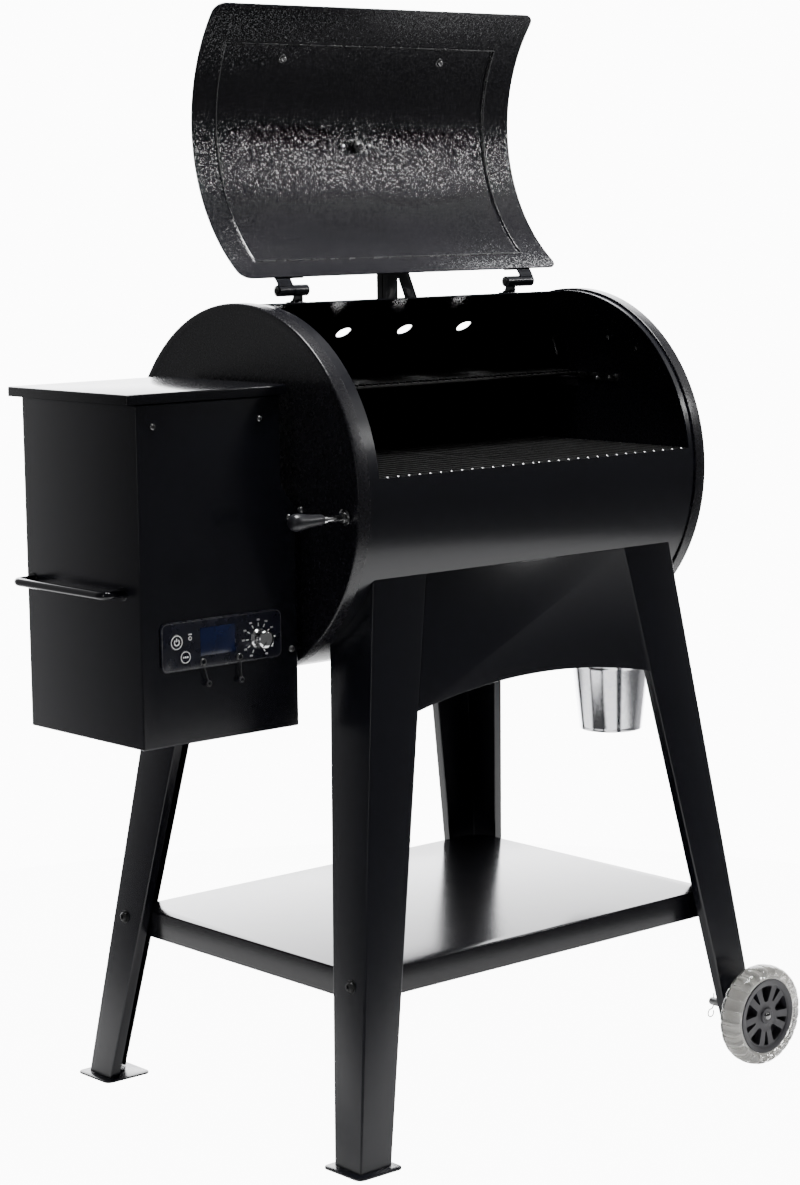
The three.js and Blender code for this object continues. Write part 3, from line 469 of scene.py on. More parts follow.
def lathe(profile, axis, centre=(0, 0, 0), facets=64):
    """A turned solid. The profile is (radius, distance along the axis); a radius of 0 closes it."""
    mesh = bmesh.new()
    closed = profile[0] == profile[-1]
    rings = [
        [mesh.verts.new((u, v, h)) for u, v in (circle(r, facets) if r > 1e-6 else [(0, 0)])]
        for r, h in (profile[:-1] if closed else profile)]
    stitch(mesh, rings + rings[:1] if closed else rings)
    moved(mesh, Matrix.Translation(centre) @ AXES[axis])
    bmesh.ops.recalc_face_normals(mesh, faces=mesh.faces)
    return mesh


def cylinder(axis, radius, start, end, centre, facets=48):
    return lathe([(0, start), (radius, start), (radius, end), (0, end)], axis, centre, facets)


def tube(points, radius, facets=12, loop=False):
    """A round wire along a line of points, with domed ends."""
    mesh = bmesh.new()
    points = [Vector(p) for p in points]
    count = len(points)
    rings = []
    side = None
    for i, point in enumerate(points):
        before = points[i - 1] if i or loop else point
        after = points[(i + 1) % count] if i < count - 1 or loop else point
        along = (after - before).normalized()
        if side is None:
            side = along.orthogonal().normalized()
        side = (side - along * side.dot(along)).normalized()
        other = along.cross(side)
        rings.append([
            mesh.verts.new(point + u * side + v * other) for u, v in circle(radius, facets)])
    stitch(mesh, rings + rings[:1] if loop else rings)
    if not loop:
        for ring, out in ((rings[0], points[0] - points[1]), (rings[-1], points[-1] - points[-2])):
            middle = sum((v.co for v in ring), Vector()) / facets
            stitch(mesh, [ring, [mesh.verts.new(middle + out.normalized() * radius * 0.45)]])
    return mesh


def rounded_path(corners, bend, steps=8):
    """The points of a wire that runs straight between corners and bends round them."""
    corners = [Vector(c) for c in corners]
    points = [corners[0]]
    for a, b, c in zip(corners, corners[1:], corners[2:]):
        start = b + (a - b).normalized() * bend
        end = b + (c - b).normalized() * bend
        for i in range(steps + 1):
            t = i / steps
            points.append(start.lerp(b, t).lerp(b.lerp(end, t), t))
    points.append(corners[-1])
    return points


def grid_shell(outer, inner, keep=lambda i, j: True, wrap=False):
    """A sheet between two grids of points, with walls wherever a kept cell has no neighbour."""
    mesh = bmesh.new()
    top = [[mesh.verts.new(p) for p in row] for row in outer]
    low = [[mesh.verts.new(p) for p in row] for row in inner]
    rows, columns = len(outer), len(outer[0])
    last = rows if wrap else rows - 1

    def kept(i, j):
        if wrap:
            i %= rows
        return 0 <= i < last and 0 <= j < columns - 1 and keep(i, j)

    for i in range(last):
        n = (i + 1) % rows
        for j in range(columns - 1):
            if not kept(i, j):
                continue
            mesh.faces.new((top[i][j], top[i][j + 1], top[n][j + 1], top[n][j]))
            mesh.faces.new((low[i][j], low[n][j], low[n][j + 1], low[i][j + 1]))
            for (a, b), (c, d), (p, q) in (
                    ((i, j), (i, j + 1), (i - 1, j)), ((n, j), (n, j + 1), (i + 1, j)),
                    ((i, j), (n, j), (i, j - 1)), ((i, j + 1), (n, j + 1), (i, j + 1))):
                if not kept(p, q):
                    mesh.faces.new((top[a][b], low[a][b], low[c][d], top[c][d]))
    bmesh.ops.delete(mesh, geom=[v for v in mesh.verts if not v.link_faces], context="VERTS")
    bmesh.ops.recalc_face_normals(mesh, faces=mesh.faces)
    return mesh


def spread(start, end, count):
    return [start + (end - start) * i / count for i in range(count + 1)]


def polar(radius, degrees):
    """(y, z) on a circle about the barrel's axis: 0 is the top, positive leans to the front."""
    a = math.radians(degrees)
    return -radius * math.sin(a), radius * math.cos(a)


def smooth_step(t):
    t = min(1.0, max(0.0, t))
    return t * t * (3 - 2 * t)


def aim(point, direction):
    """A matrix that stands +Z up along a direction at a point."""
    turn = Vector(direction).to_track_quat("Z", "Y").to_matrix().to_4x4()
    return Matrix.Translation(point) @ turn


def button_head(point, direction, radius=6.0, height=3.4, socket=True):
    """A domed bolt head with a hexagon socket, standing out of a surface."""
    profile = [(radius * 0.98, -0.6), (radius, 0.3)]
    for i in range(1, 7):
        a = i / 6 * math.pi / 2
        profile.append((radius * (0.52 + 0.48 * math.cos(a)), 0.3 + height * math.sin(a)))
    key = radius * 0.40
    if socket:
        profile += [(key, height + 0.3), (key * 0.96, height - 1.3), (0, height - 1.5)]
    else:
        profile += [(0, height + 0.34)]
    return moved(lathe([(0, -0.6), *profile], "z", facets=24), aim(point, direction))


def washer(point, direction, radius=8.0, thick=1.2):
    return moved(lathe([
        (0, -0.2), (radius - 0.3, -0.2), (radius, 0.1), (radius, thick - 0.3),
        (radius - 0.3, thick), (0, thick)], "z", facets=28), aim(point, direction))


def upright(edge):
    """Whether an edge runs up rather than level."""
    return abs((edge.verts[0].co - edge.verts[1].co).z) > 2


def barrel_core(gap=0.6, facets=240):
    """The tool that keeps a part clear of the barrel's shell."""
    return cylinder("x", BARREL_R + gap, -420, 420, (0, 0, 0), facets)


# ---- barrel ----
VENT_X = [-11.2 + i * 119.4 for i in range(-2, 3)]  # the row of round vents along the back
VENT_R, VENT_ANGLE = 12.0, -38


def barrel_shell():
    half = BARREL_HALF - SHEET - GAP
    angles = spread(OPENING["rear"], OPENING["front"], 36)
    angles += spread(OPENING["front"], OPENING["rear"] + 360, 110)[1:-1]
    stations = sorted({-half, OPENING["left"], OPENING["right"], half,
                       *spread(OPENING["left"], OPENING["right"], 6)})
    hole = range(36)

    def keep(i, j):
        inside = OPENING["left"] - 0.1 < stations[j] and stations[j + 1] < OPENING["right"] + 0.1
        return not (i in hole and inside)

    grids = [[[(x, *polar(r, a)) for x in stations] for a in angles]
             for r in (BARREL_R, BARREL_R - SHEET)]
    shell = grid_shell(*grids, keep=keep, wrap=True)
    lean = Matrix.Rotation(math.radians(VENT_ANGLE), 4, "X")
    return cut(shell, *(
        moved(cylinder("z", VENT_R, 220, 280, (0, 0, 0)), Matrix.Translation((x, 0, 0)) @ lean)
        for x in VENT_X))


def end_cap(side):
    """A dished cap: a rolled rim that laps the shell and a face that sits a little inside it."""
    face, rim = BARREL_HALF, BARREL_HALF - CAP_RIM
    corner = 2.6
    profile = [(0, face - 0.9), (CAP_R - 16, face - 0.9), (CAP_R - 11, face - 0.5)]
    for i in range(7):
        a = i / 6 * math.pi / 2
        profile.append((
            CAP_R - corner + corner * math.sin(a), face - corner + corner * math.cos(a)))
    profile += [(CAP_R, rim + 0.8), (CAP_R - 0.4, rim + 0.2), (CAP_R - 1.4, rim),
                (BARREL_R + 0.6, rim + 0.2), (BARREL_R + 0.5, face - 5),
                (CAP_R - 8, face - SHEET - 1), (0, face - SHEET - 1)]
    return lathe([(r, side * h) for r, h in profile], "x", facets=180)


def ledges(side):
    """Angle ledges welded inside a cap, under the grates and the rack."""
    near, far = BARREL_HALF - 16, BARREL_HALF - 2.6
    parts = []
    for y0, y1, top in ((-225, 225, GRATE_TOP - 13), (6, 204, RACK_Z - 10.5)):
        x0, x1 = sorted((side * near, side * far))
        parts.append(box(x0, x1, y0, y1, top - 2.2, top, 0.5))
        x0, x1 = sorted((side * (far - 2), side * far))
        parts.append(box(x0, x1, y0, y1, top - 15, top - 2.3, 0.5))
        for y in (y0 + 20, y1 - 20):
            parts.append(button_head((side * (far - 2), y, top - 9), (-side, 0, 0), 3.4, 2.0))
    return merged(*parts)


piece("barrel_skin", barrel_shell(), "body", "powder", ["barrel_shell"])
left_cap = cut(
    end_cap(-1), cylinder("x", 23.0, -345, -310, (0, 0, AUGER_Z)),
    cylinder("x", ROD_R + 0.6, -345, -310, SLIDE_AXIS))
piece("left_cap_skin", left_cap, "body", "cap", ["left_end_cap"])
right_cap = cut(end_cap(1), cylinder("x", SPOUT_R + GAP, 310, 345, (0, 0, SPOUT_Z)))
piece("right_cap_skin", right_cap, "body", "cap", ["right_end_cap"])
piece("inner_ledges", merged(ledges(-1), ledges(1)), "body", "inside")


def cap_fittings():
    """The rack's bracket, the temperature probe and small fixings inside the right cap."""
    wall = BARREL_HALF - 2.8
    probe = tube(rounded_path([
        (wall, 51, 180), (wall - 10, 51, 180), (wall - 12, 44, 168), (wall - 12, 38, 152)], 4), 1.5)
    parts = [probe, box(wall - 2, wall, -80, 24, 116, 127, 0.6)]
    for y, z, r in (
            (18, 122, 3.0), (-37, 119, 3.4), (-62, 120, 3.0), (-76, 124, 3.0), (-60, 181, 4.2)):
        parts.append(button_head((wall - 2, y, z), (-1, 0, 0), r, 3.0))
    parts.append(button_head((wall, -116, 166), (-1, 0, 0), 4.0, 3.0, False))
    return merged(*parts)


piece("cap_fittings", cap_fittings(), "body", "screw")


# ---- stand ----
def leg_at(z):
    k = (LEG_TOP["z"] - z) / (LEG_TOP["z"] - LEG_FOOT["z"])
    return [LEG_TOP[n] + (LEG_FOOT[n] - LEG_TOP[n]) * k for n in ("x", "y", "width")]


def corner_arc(cx, cy, r, start, end, steps=5):
    return [(cx + r * math.cos(math.radians(a)), cy + r * math.sin(math.radians(a)))
            for a in spread(start, end, steps)]


def leg_section(width):
    """The folded section from its outer corner, both walls running inwards, folds rounded."""
    lip, t, bend = 15.0, SHEET, 3.2
    outline = corner_arc(bend, bend, bend, 180, 270)
    outline += corner_arc(width - bend, bend, bend, 270, 360)
    outline += [(width, lip), (width - t, lip)]
    outline += corner_arc(width - bend, bend, bend - t, 360, 270)
    outline += corner_arc(bend, bend, bend - t, 270, 180)
    outline += corner_arc(bend, width - bend, bend - t, 180, 90)
    outline += [(lip, width - t), (lip, width)]
    outline += corner_arc(bend, width - bend, bend, 90, 180)
    return outline


def leg(side, depth, foot):
    mesh = bmesh.new()
    rings = []
    for z in spread(foot, LEG_TOP["z"] + 54, 5):
        x, y, width = leg_at(z)
        rings.append([
            mesh.verts.new((side * (x - u), depth * (y - v), z)) for u, v in leg_section(width)])
    stitch(mesh, rings)
    mesh.faces.new(rings[0])
    mesh.faces.new(reversed(rings[-1]))
    return cut(mesh, barrel_core())


def apron(depth):
    lean = (LEG_FOOT["y"] - LEG_TOP["y"]) / (LEG_TOP["z"] - LEG_FOOT["z"])

    def edge(z):
        x, _, width = leg_at(z)
        return x - width + 1  # laps the leg's rounded fold, so no light shows between them

    crown, spring, top = -265.0, -290.0, LEG_TOP["z"] + 24
    rise = crown - spring
    radius = (edge(spring) ** 2 + rise ** 2) / (2 * rise)
    swing = math.degrees(math.asin(edge(spring) / radius))
    outline = [(-edge(top), top)]
    outline += corner_arc(0, crown - radius, radius, 90 + swing, 90 - swing, 40)
    outline += [(edge(top), top)]
    mesh = prism(outline, "y", 0, SHEET)
    for v in mesh.verts:
        v.co.y = depth * (LEG_TOP["y"] + lean * (LEG_TOP["z"] - v.co.z) - v.co.y)
    mesh = cut(mesh, barrel_core())
    return rounded(mesh, 0.6, 2, 50)


FOOT_Z = FLOOR + 3.35
RIGHT_END = FLOOR + 57
for name, side, depth, bottom in (
        ("front_left", -1, -1, FOOT_Z), ("rear_left", -1, 1, FOOT_Z),
        ("front_right", 1, -1, RIGHT_END), ("rear_right", 1, 1, RIGHT_END)):
    piece(f"leg_{name}_skin", leg(side, depth, bottom), "body", "powder", [f"leg_{name}"])
for name, depth in (("front", -1), ("rear", 1)):
    piece(f"{name}_apron_skin", apron(depth), "body", "powder", [f"{name}_apron"])
    x0 = -LEG_FOOT["x"] - 13
    y0, y1 = sorted((depth * (LEG_FOOT["y"] + 13), depth * (LEG_FOOT["y"] + 13 - 78)))
    plate = box(x0, x0 + 78, y0, y1, FLOOR, FLOOR + 3)
    rounded(plate, 10, 5, choose=upright)
    rounded(plate, 0.5, 2, 60)
    piece(f"foot_{name}_left_skin", plate, "body", "powder", [f"foot_{name}_left"])


def shelf():
    x, y, c, drop = 341.0, 256.0, 22.0, 38.5
    mesh = box(-x, x, -y, y, SHELF_TOP - drop, SHELF_TOP)
    rounded(mesh, c, 1, choose=upright)
    rounded(mesh, 2.6, 4, 40,
            lambda e: min(v.co.z for v in e.verts) > SHELF_TOP - 1 or upright(e))
    room = box(-x + SHEET, x - SHEET, -y + SHEET, y - SHEET,
               SHELF_TOP - drop - 5, SHELF_TOP - SHEET)
    rounded(room, c, 1, choose=upright)
    return cut(mesh, room)


piece("shelf_skin", shelf(), "body", "shelf", ["bottom_shelf"])


def stand_bolts():
    """Button heads on washers where the legs are bolted to the shelf's flange."""
    parts = []
    z = SHELF_TOP - 13
    x, y, width = leg_at(z)
    for side in (-1, 1):
        for depth in (-1, 1):
            out = Vector((side, 0, 0.143)).normalized()  # square to the leg's leaning face
            spot = Vector((side * x, depth * (y - width * 0.42), z))
            parts += [washer(spot, out, 9.5, 1.0), button_head(spot + out, out, 7.5, 4.2)]
    return merged(*parts)


piece("stand_bolts", stand_bolts(), "body", "bolt")


# ---- wheels ----
def window(near, far, near_half, far_half, angle):
    """The tool that opens one rounded window between the hub's spokes."""
    def spot(r, a):
        return r * math.sin(math.radians(a)), r * math.cos(math.radians(a))

    outline = [spot(near, -near_half)] + [spot(far, a) for a in spread(-far_half, far_half, 6)]
    outline += [spot(near, near_half)]
    mesh = prism(outline, "y", -WHEEL_OUT - 4, -WHEEL_IN + 4)
    rounded(mesh, 2.6, 3, 40, lambda e: abs((e.verts[0].co - e.verts[1].co).y) > 5)
    return moved(mesh, Matrix.Rotation(math.radians(angle), 4, "Y"))


def wheel_hub():
    """A flush face with five pairs of spokes over a dark closed web."""
    out, back = -WHEEL_OUT, -WHEEL_IN
    disc = lathe([
        (6.35, out + 2), (10.5, out + 2), (11.5, out + 2.8), (12, out + 4.6), (14, out + 5.2),
        (20, out + 4.8), (HUB_R - 9.5, out + 4.0), (HUB_R - 8.5, out + 2.6),
        (HUB_R - 7.5, out + 2.0),
        (HUB_R - 1, out + 1.2), (HUB_R, out + 2), (HUB_R, back - 2), (HUB_R - 1, back - 1.2),
        (HUB_R - 6, back - 1.2), (HUB_R - 8, back - 4), (HUB_R - 9, out + 16), (30, out + 15),
        (16, out + 17), (13, back + 11), (12, back + 12.5), (6.35, back + 12.5), (6.35, out + 2)],
        "y", facets=120)
    tools = []
    for angle in range(0, 360, 72):
        tools.append(window(21, HUB_R - 10.5, 9.5, 15.5, angle))
        tools.append(window(24, HUB_R - 10.5, 3.0, 6.0, angle + 36))
    web = lathe([(13.2, out + 18), (HUB_R - 8.6, out + 18), (HUB_R - 8.6, out + 20),
                 (13.2, out + 20), (13.2, out + 18)], "y", facets=80)
    return merged(cut(disc, *tools), web)


TREAD_BLOCKS = 24


def tyre_shell():
    """The clear tyre: a rounded section whose tread is parted into blocks by shallow grooves."""
    out, back = -WHEEL_OUT, -WHEEL_IN
    middle, half = (out + back) / 2, (back - out) / 2
    profile = [(HUB_R + GAP, out + 2.4, 0), (HUB_R + 2, out + 1.4, 0), (HUB_R + 5.0, out + 0.6, 0),
               (HUB_R + 6.0, out + 1.3, 0), (HUB_R + 7.0, out + 0.5, 0)]
    for i in range(15):
        a = math.radians(-78 + 156 * i / 14)
        profile.append((
            WHEEL_R - 13 + 13 * math.cos(a) ** 0.6, middle + half * math.sin(a) / 0.98, 1))
    profile += [(HUB_R + 7, back - 0.5, 0), (HUB_R + 6.0, back - 1.3, 0),
                (HUB_R + 5.0, back - 0.6, 0), (HUB_R + 2, back - 1.4, 0),
                (HUB_R + GAP, back - 2.4, 0)]
    # Where each ring lies within a block, and how far its tread is cut down there.
    steps = (0.0, 0.07, 0.11, 0.30, 0.5, 0.70, 0.89, 0.93)
    deep = (1.6, 1.6, 0.25, 0.0, 0.0, 0.0, 0.25, 1.6)
    mesh = bmesh.new()
    rings = []
    for k in range(TREAD_BLOCKS):
        for step, groove in zip(steps, deep):
            a = math.tau * (k + step) / TREAD_BLOCKS
            rings.append([mesh.verts.new((
                (r - groove * part) * math.sin(a), max(out, min(back, h)),
                (r - groove * part) * math.cos(a))) for r, h, part in profile])
    stitch(mesh, rings + rings[:1])
    return mesh


def tyre_ribs():
    """The core moulded inside the clear tyre, with a web under each groove."""
    out, back = -WHEEL_OUT, -WHEEL_IN
    parts = [lathe([
        (HUB_R + 0.7, out + 4), (HUB_R + 3.0, out + 4), (HUB_R + 3.0, back - 4),
        (HUB_R + 0.7, back - 4), (HUB_R + 0.7, out + 4)], "y", facets=120)]
    for i in range(TREAD_BLOCKS):
        web = box(-1.1, 1.1, out + 4.4, back - 4.4, HUB_R + 2.9, WHEEL_R - 6.5, 0.5, 1)
        parts.append(moved(web, Matrix.Rotation(math.tau * i / TREAD_BLOCKS, 4, "Y")))
    return merged(*parts)


def axle():
    head = -WHEEL_OUT - 1.5
    return lathe([
        (0, head), (3.4, head + 0.3), (5.0, head + 1.4), (5.6, head + 2.6), (5.6, head + 3.4),
        (6, head + 3.8), (6, -242), (5.4, -240), (0, -239.4)], "y", facets=48)


def hairpin():
    """The spring pin through the axle's inner end, hanging down by its ring."""
    ring = [(-5 + 6.0 * math.cos(a), -244, -17 + 6.0 * math.sin(a))
            for a in [math.radians(70 + 15 * i) for i in range(22)]]
    return tube([(1.2, -244, 12), (1.2, -244, -6), *ring], 0.9, 8)


for name, depth in (("front", 1), ("rear", -1)):
    flip = Matrix.Translation((WHEEL_X, 0, WHEEL_Z)) @ Matrix.Diagonal((1, depth, 1, 1))
    body = f"{name}_wheel"
    piece(f"{name}_hub_skin", wheel_hub(), body, "hub", [f"wheel_hub_{name}"], flip)
    piece(f"{name}_tyre_skin", tyre_shell(), body, "tyre", [f"wheel_tyre_{name}"],
          flip)
    piece(f"{name}_tyre_webs", tyre_ribs(), body, "rib", turn=flip)
    piece(f"{name}_axle_skin", merged(axle(), hairpin()), "body", "screw", [f"axle_{name}"],
          flip)

# ---- lid ----
OPEN = (Matrix.Translation((0, HINGE_Y, HINGE_Z)) @ Matrix.Rotation(-LID_OPEN, 4, "X")
        @ Matrix.Translation((0, -HINGE_Y, -HINGE_Z)))


def radial(x, degrees):
    """Stands +Z out of the closed lid, at an angle towards the front, then opens the lid."""
    return OPEN @ Matrix.Translation((x, 0, 0)) @ Matrix.Rotation(math.radians(degrees), 4, "X")


def lid_sheet():
    """The curved sheet with rounded corners and the raised rectangle pressed outwards."""
    r = LID["radius"]
    per_degree = r * math.pi / 180
    v0, v1 = LID["rear"] * per_degree, LID["front"] * per_degree
    e0, e1 = EMBOSS["rear"] * per_degree, EMBOSS["front"] * per_degree
    ramp = 2.4

    def stops(low, high, inner_low, inner_high, count):
        values = {low, high}
        values.update(low + LID_CORNER * (1 - math.cos(math.pi / 2 * i / 9)) for i in range(10))
        values.update(high - LID_CORNER * (1 - math.cos(math.pi / 2 * i / 9)) for i in range(10))
        for line, step in ((inner_low, 1), (inner_high, -1)):
            values.update(line + step * ramp * k / 4 for k in range(-5, 7))
        body = spread(low + LID_CORNER, high - LID_CORNER, count)
        values.update(b for b in body if all(abs(b - v) > 6 for v in (inner_low, inner_high)))
        return sorted(values)

    def inset(v):
        short = max(0.0, LID_CORNER - min(v - v0, v1 - v))
        return LID_CORNER - math.sqrt(max(0.0, LID_CORNER ** 2 - short ** 2))

    columns = stops(LID["left"], LID["right"], EMBOSS["left"], EMBOSS["right"], 24)
    rows = stops(v0, v1, e0, e1, 44)

    def lift(x, v):
        edge = min(x - EMBOSS["left"], EMBOSS["right"] - x, v - e0, e1 - v)
        bead = EMBOSS["bead"] * math.exp(-((edge / 1.3) ** 2))
        return EMBOSS["depth"] * smooth_step(edge / ramp) - bead

    def point(x, v, radius):
        narrow = inset(v)
        low, high = LID["left"] + narrow, LID["right"] - narrow
        x = min(high, max(low, x))
        return (x, *polar(radius + lift(x, v), v / per_degree))

    # Near a corner the outer columns run along the arc instead of past it.
    def column(v, x):
        narrow = inset(v)
        if narrow <= 0:
            return x
        if x < LID["left"] + LID_CORNER:
            return LID["left"] + narrow + (x - LID["left"]) * (LID_CORNER - narrow) / LID_CORNER
        if x > LID["right"] - LID_CORNER:
            return LID["right"] - narrow - (LID["right"] - x) * (LID_CORNER - narrow) / LID_CORNER
        return x

    grids = [[[point(column(v, x), v, radius) for x in columns] for v in rows]
             for radius in (r, r - LID_SHEET)]
    mesh = grid_shell(*grids)
    bmesh.ops.remove_doubles(mesh, verts=mesh.verts, dist=0.01)
    return mesh


def panel_edge():
    """The burnished edge of the pressed rectangle, along the inside of the lid."""
    inner = LID["radius"] - LID_SHEET - EMBOSS["bead"] + 0.25
    x0, x1 = EMBOSS["left"], EMBOSS["right"]
    a0, a1 = EMBOSS["rear"], EMBOSS["front"]
    line = [(x0 + (x1 - x0) * i / 24, *polar(inner, a0)) for i in range(24)]
    line += [(x1, *polar(inner, a0 + (a1 - a0) * i / 60)) for i in range(60)]
    line += [(x1 - (x1 - x0) * i / 24, *polar(inner, a1)) for i in range(24)]
    line += [(x0, *polar(inner, a1 - (a1 - a0) * i / 60)) for i in range(60)]
    return tube(line, 0.75, 8, True)


def lid_handle():
    y, z = polar(HANDLE_RADIUS, HANDLE_ANGLE)
    x0, x1 = HANDLE_X[0] - 34, HANDLE_X[1] + 34
    return lathe([
        (0, x0), (9.5, x0 + 0.4), (11.6, x0 + 1.8), (HANDLE_R, x0 + 4), (HANDLE_R, x1 - 4),
        (11.6, x1 - 1.8), (9.5, x1 - 0.4), (0, x1)], "x", (0, y, z), 64)


def handle_post():
    low, high = RAISED_R + GAP, HANDLE_RADIUS
    post = lathe([
        (0, low), (13, low), (13.6, low + 0.6), (13.6, low + 2.4), (11.5, low + 4.2),
        (8.4, low + 8),
        (7.6, low + 16), (8.6, high - 15), (11.5, high - 9), (11.5, high - 4), (0, high - 4)],
        "z", facets=48)
    saddle = cylinder("x", HANDLE_R + GAP, -20, 20, (0, 0, high), 64)
    return cut(post, saddle)


def gauge():
    """The round thermometer: bezel, face, marks, needle and lens, drawn standing on +Z."""
    out = RAISED_R + GAP
    case = lathe([
        (0, out), (33, out), (35, out + 1.2), (36, out + 4), (36, out + 11), (35.2, out + 13.2),
        (33.4, out + 14.6), (31.4, out + 14.2), (30.6, out + 12.4), (30.4, out + 9), (0, out + 9)],
        "z", facets=96)
    inside = LID["radius"] - LID_SHEET + EMBOSS["depth"]
    fixing = merged(
        prism(circle(9.2, 6), "z", inside - 7, inside, 0.6),
        lathe([(0, inside - 17), (2, inside - 16.4), (3, inside - 14), (3, inside - 7),
               (0, inside - 7)], "z", facets=24))
    face = cylinder("z", 30.2, out + 9.1, out + 9.5, (0, 0, 0), 64)
    marks = []
    for i in range(37):
        long = i % 4 == 0
        mark = box(-0.5 if long else -0.25, 0.5 if long else 0.25, 21.5 if long else 24, 27.5,
                   out + 9.5, out + 9.75)
        marks.append(moved(mark, Matrix.Rotation(math.radians(135 - 270 * i / 36), 4, "Z")))
    needle = prism([(-0.5, 22), (-1.4, -6), (1.4, -6), (0.5, 22)], "z", out + 10.2, out + 10.8)
    moved(needle, Matrix.Rotation(math.radians(128), 4, "Z"))
    pivot = lathe(
        [(0, out + 9.4), (3, out + 9.4), (3, out + 11.4), (0, out + 11.8)], "z", facets=24)
    lens = lathe([(0, out + 12.4), (30.3, out + 12.2), (30.3, out + 12.9), (16, out + 14.2),
                  (0, out + 14.9)], "z", facets=64)
    return case, fixing, face, merged(*marks), merged(needle, pivot), lens


def text_mesh(text, size, matrix, thick=0.12):
    """Flat lettering as a mesh, standing on the matrix's XY plane."""
    curve = bpy.data.curves.new("text", "FONT")
    curve.body, curve.size, curve.extrude = text, size, thick
    curve.align_x = curve.align_y = "CENTER"
    curve.resolution_u = 3
    thing = placed("text", curve)
    mesh = evaluated(thing)
    bpy.data.objects.remove(thing)
    bpy.data.curves.remove(curve)
    return moved(mesh, matrix)


piece("lid_skin", lid_sheet(), "lid", "enamel", ["lid_shell"], OPEN)
piece("panel_edge", panel_edge(), "lid", "screw", turn=OPEN)
piece("handle_bar_skin", lid_handle(), "lid", "bar", ["lid_handle_bar"], OPEN)
for name, x in zip(("left", "right"), HANDLE_X):
    piece(f"handle_post_{name}_skin", handle_post(), "lid", "powder", [f"lid_handle_post_{name}"],
          radial(x, HANDLE_ANGLE))
case, fixing, face, marks, needle, lens = gauge()
numbers = []
for i in range(10):
    a = math.radians(135 - 30 * i)
    spot = Matrix.Translation((
        -17.5 * math.sin(a), 17.5 * math.cos(a), RAISED_R + 9.95))
    numbers.append(text_mesh(str(100 + 50 * i), 4.6, spot))
GAUGE = radial(0, THERMOMETER)
piece("gauge_case", case, "lid", "chrome", ["lid_thermometer"], GAUGE)
piece("gauge_fixing", fixing, "lid", "screw", turn=GAUGE)
piece("gauge_face", face, "lid", "dial_face", turn=GAUGE)
piece("gauge_marks", merged(marks, *numbers), "lid", "ink", turn=GAUGE)
piece("gauge_needle", needle, "lid", "needle", turn=GAUGE)
piece("gauge_lens", lens, "lid", "lens", turn=GAUGE)


def under_lid(x, degrees):
    """A point on the inside of the pressed rectangle, and the way from it into the barrel."""
    spot = radial(x, degrees)
    inside = LID["radius"] - LID_SHEET
    return spot @ Vector((0, 0, inside + EMBOSS["depth"])), spot.to_3x3() @ Vector((0, 0, -1))


def lid_bolts():
    parts = []
    for x in HANDLE_X:
        point, inward = under_lid(x, HANDLE_ANGLE)
        parts += [washer(point, inward, 6.5, 1.0), button_head(point + inward, inward, 5.0, 4.0)]
    for x in (-25, 25):
        parts.append(button_head(*under_lid(x, THERMOMETER), 3.6, 3.0, False))
    return merged(*parts)


piece("lid_bolts", lid_bolts(), "lid", "rod")


def reach(x, side, near, far):
    """The span along X between two distances from x, measured towards one side."""
    return sorted((x + side * near, x + side * far))


def strip(path, thick):
    """The outline of a sheet of even thickness along a bent line of (y, z)."""
    left, right = [], []
    for i, point in enumerate(path):
        before, after = path[max(0, i - 1)], path[min(len(path) - 1, i + 1)]
        dy, dz = after[0] - before[0], after[1] - before[1]
        size = math.hypot(dy, dz)
        ny, nz = -dz / size * thick / 2, dy / size * thick / 2
        left.append((point[0] + ny, point[1] + nz))
        right.append((point[0] - ny, point[1] - nz))
    return left + right[::-1]


def hinge_leaf(x, side):
    """The lid's half: a tab under two bolts whose end is rolled round the pin."""
    y, z = HINGE_Y, HINGE_Z
    base = LID["radius"] + 1.9
    line = [polar(base, a) for a in (4.6, 3.4, 2.2, 1.0)]
    tab = prism(strip([*line, (y - 13, z - 11.6)], 2.6), "x", x - 24, x + 24)
    rounded(tab, 0.7, 2, 60)
    neck = prism(strip([
        (y - 16, z - 11.6), (y - 11, z - 11.2), (y - 6.5, z - 9.6), (y - 3, z - 8.2),
        (y, z - 7.4)], 2.6), "x", *reach(x, side, 1, 26))
    roll = lathe([(3.6, 1), (7.6, 1), (8, 1.5), (8, 25.5), (7.6, 26), (3.6, 26), (3.6, 1)], "x",
                 facets=40)
    moved(roll, Matrix.Translation((x, y, z)) @ Matrix.Diagonal((side, 1, 1, 1)))
    py, pz = polar(base + 1.2, 2.4)
    return merged(tab, neck, roll, *(
        button_head((x + dx, py, pz), (0, py, pz), 4.2, 2.4) for dx in (-14, 14)))


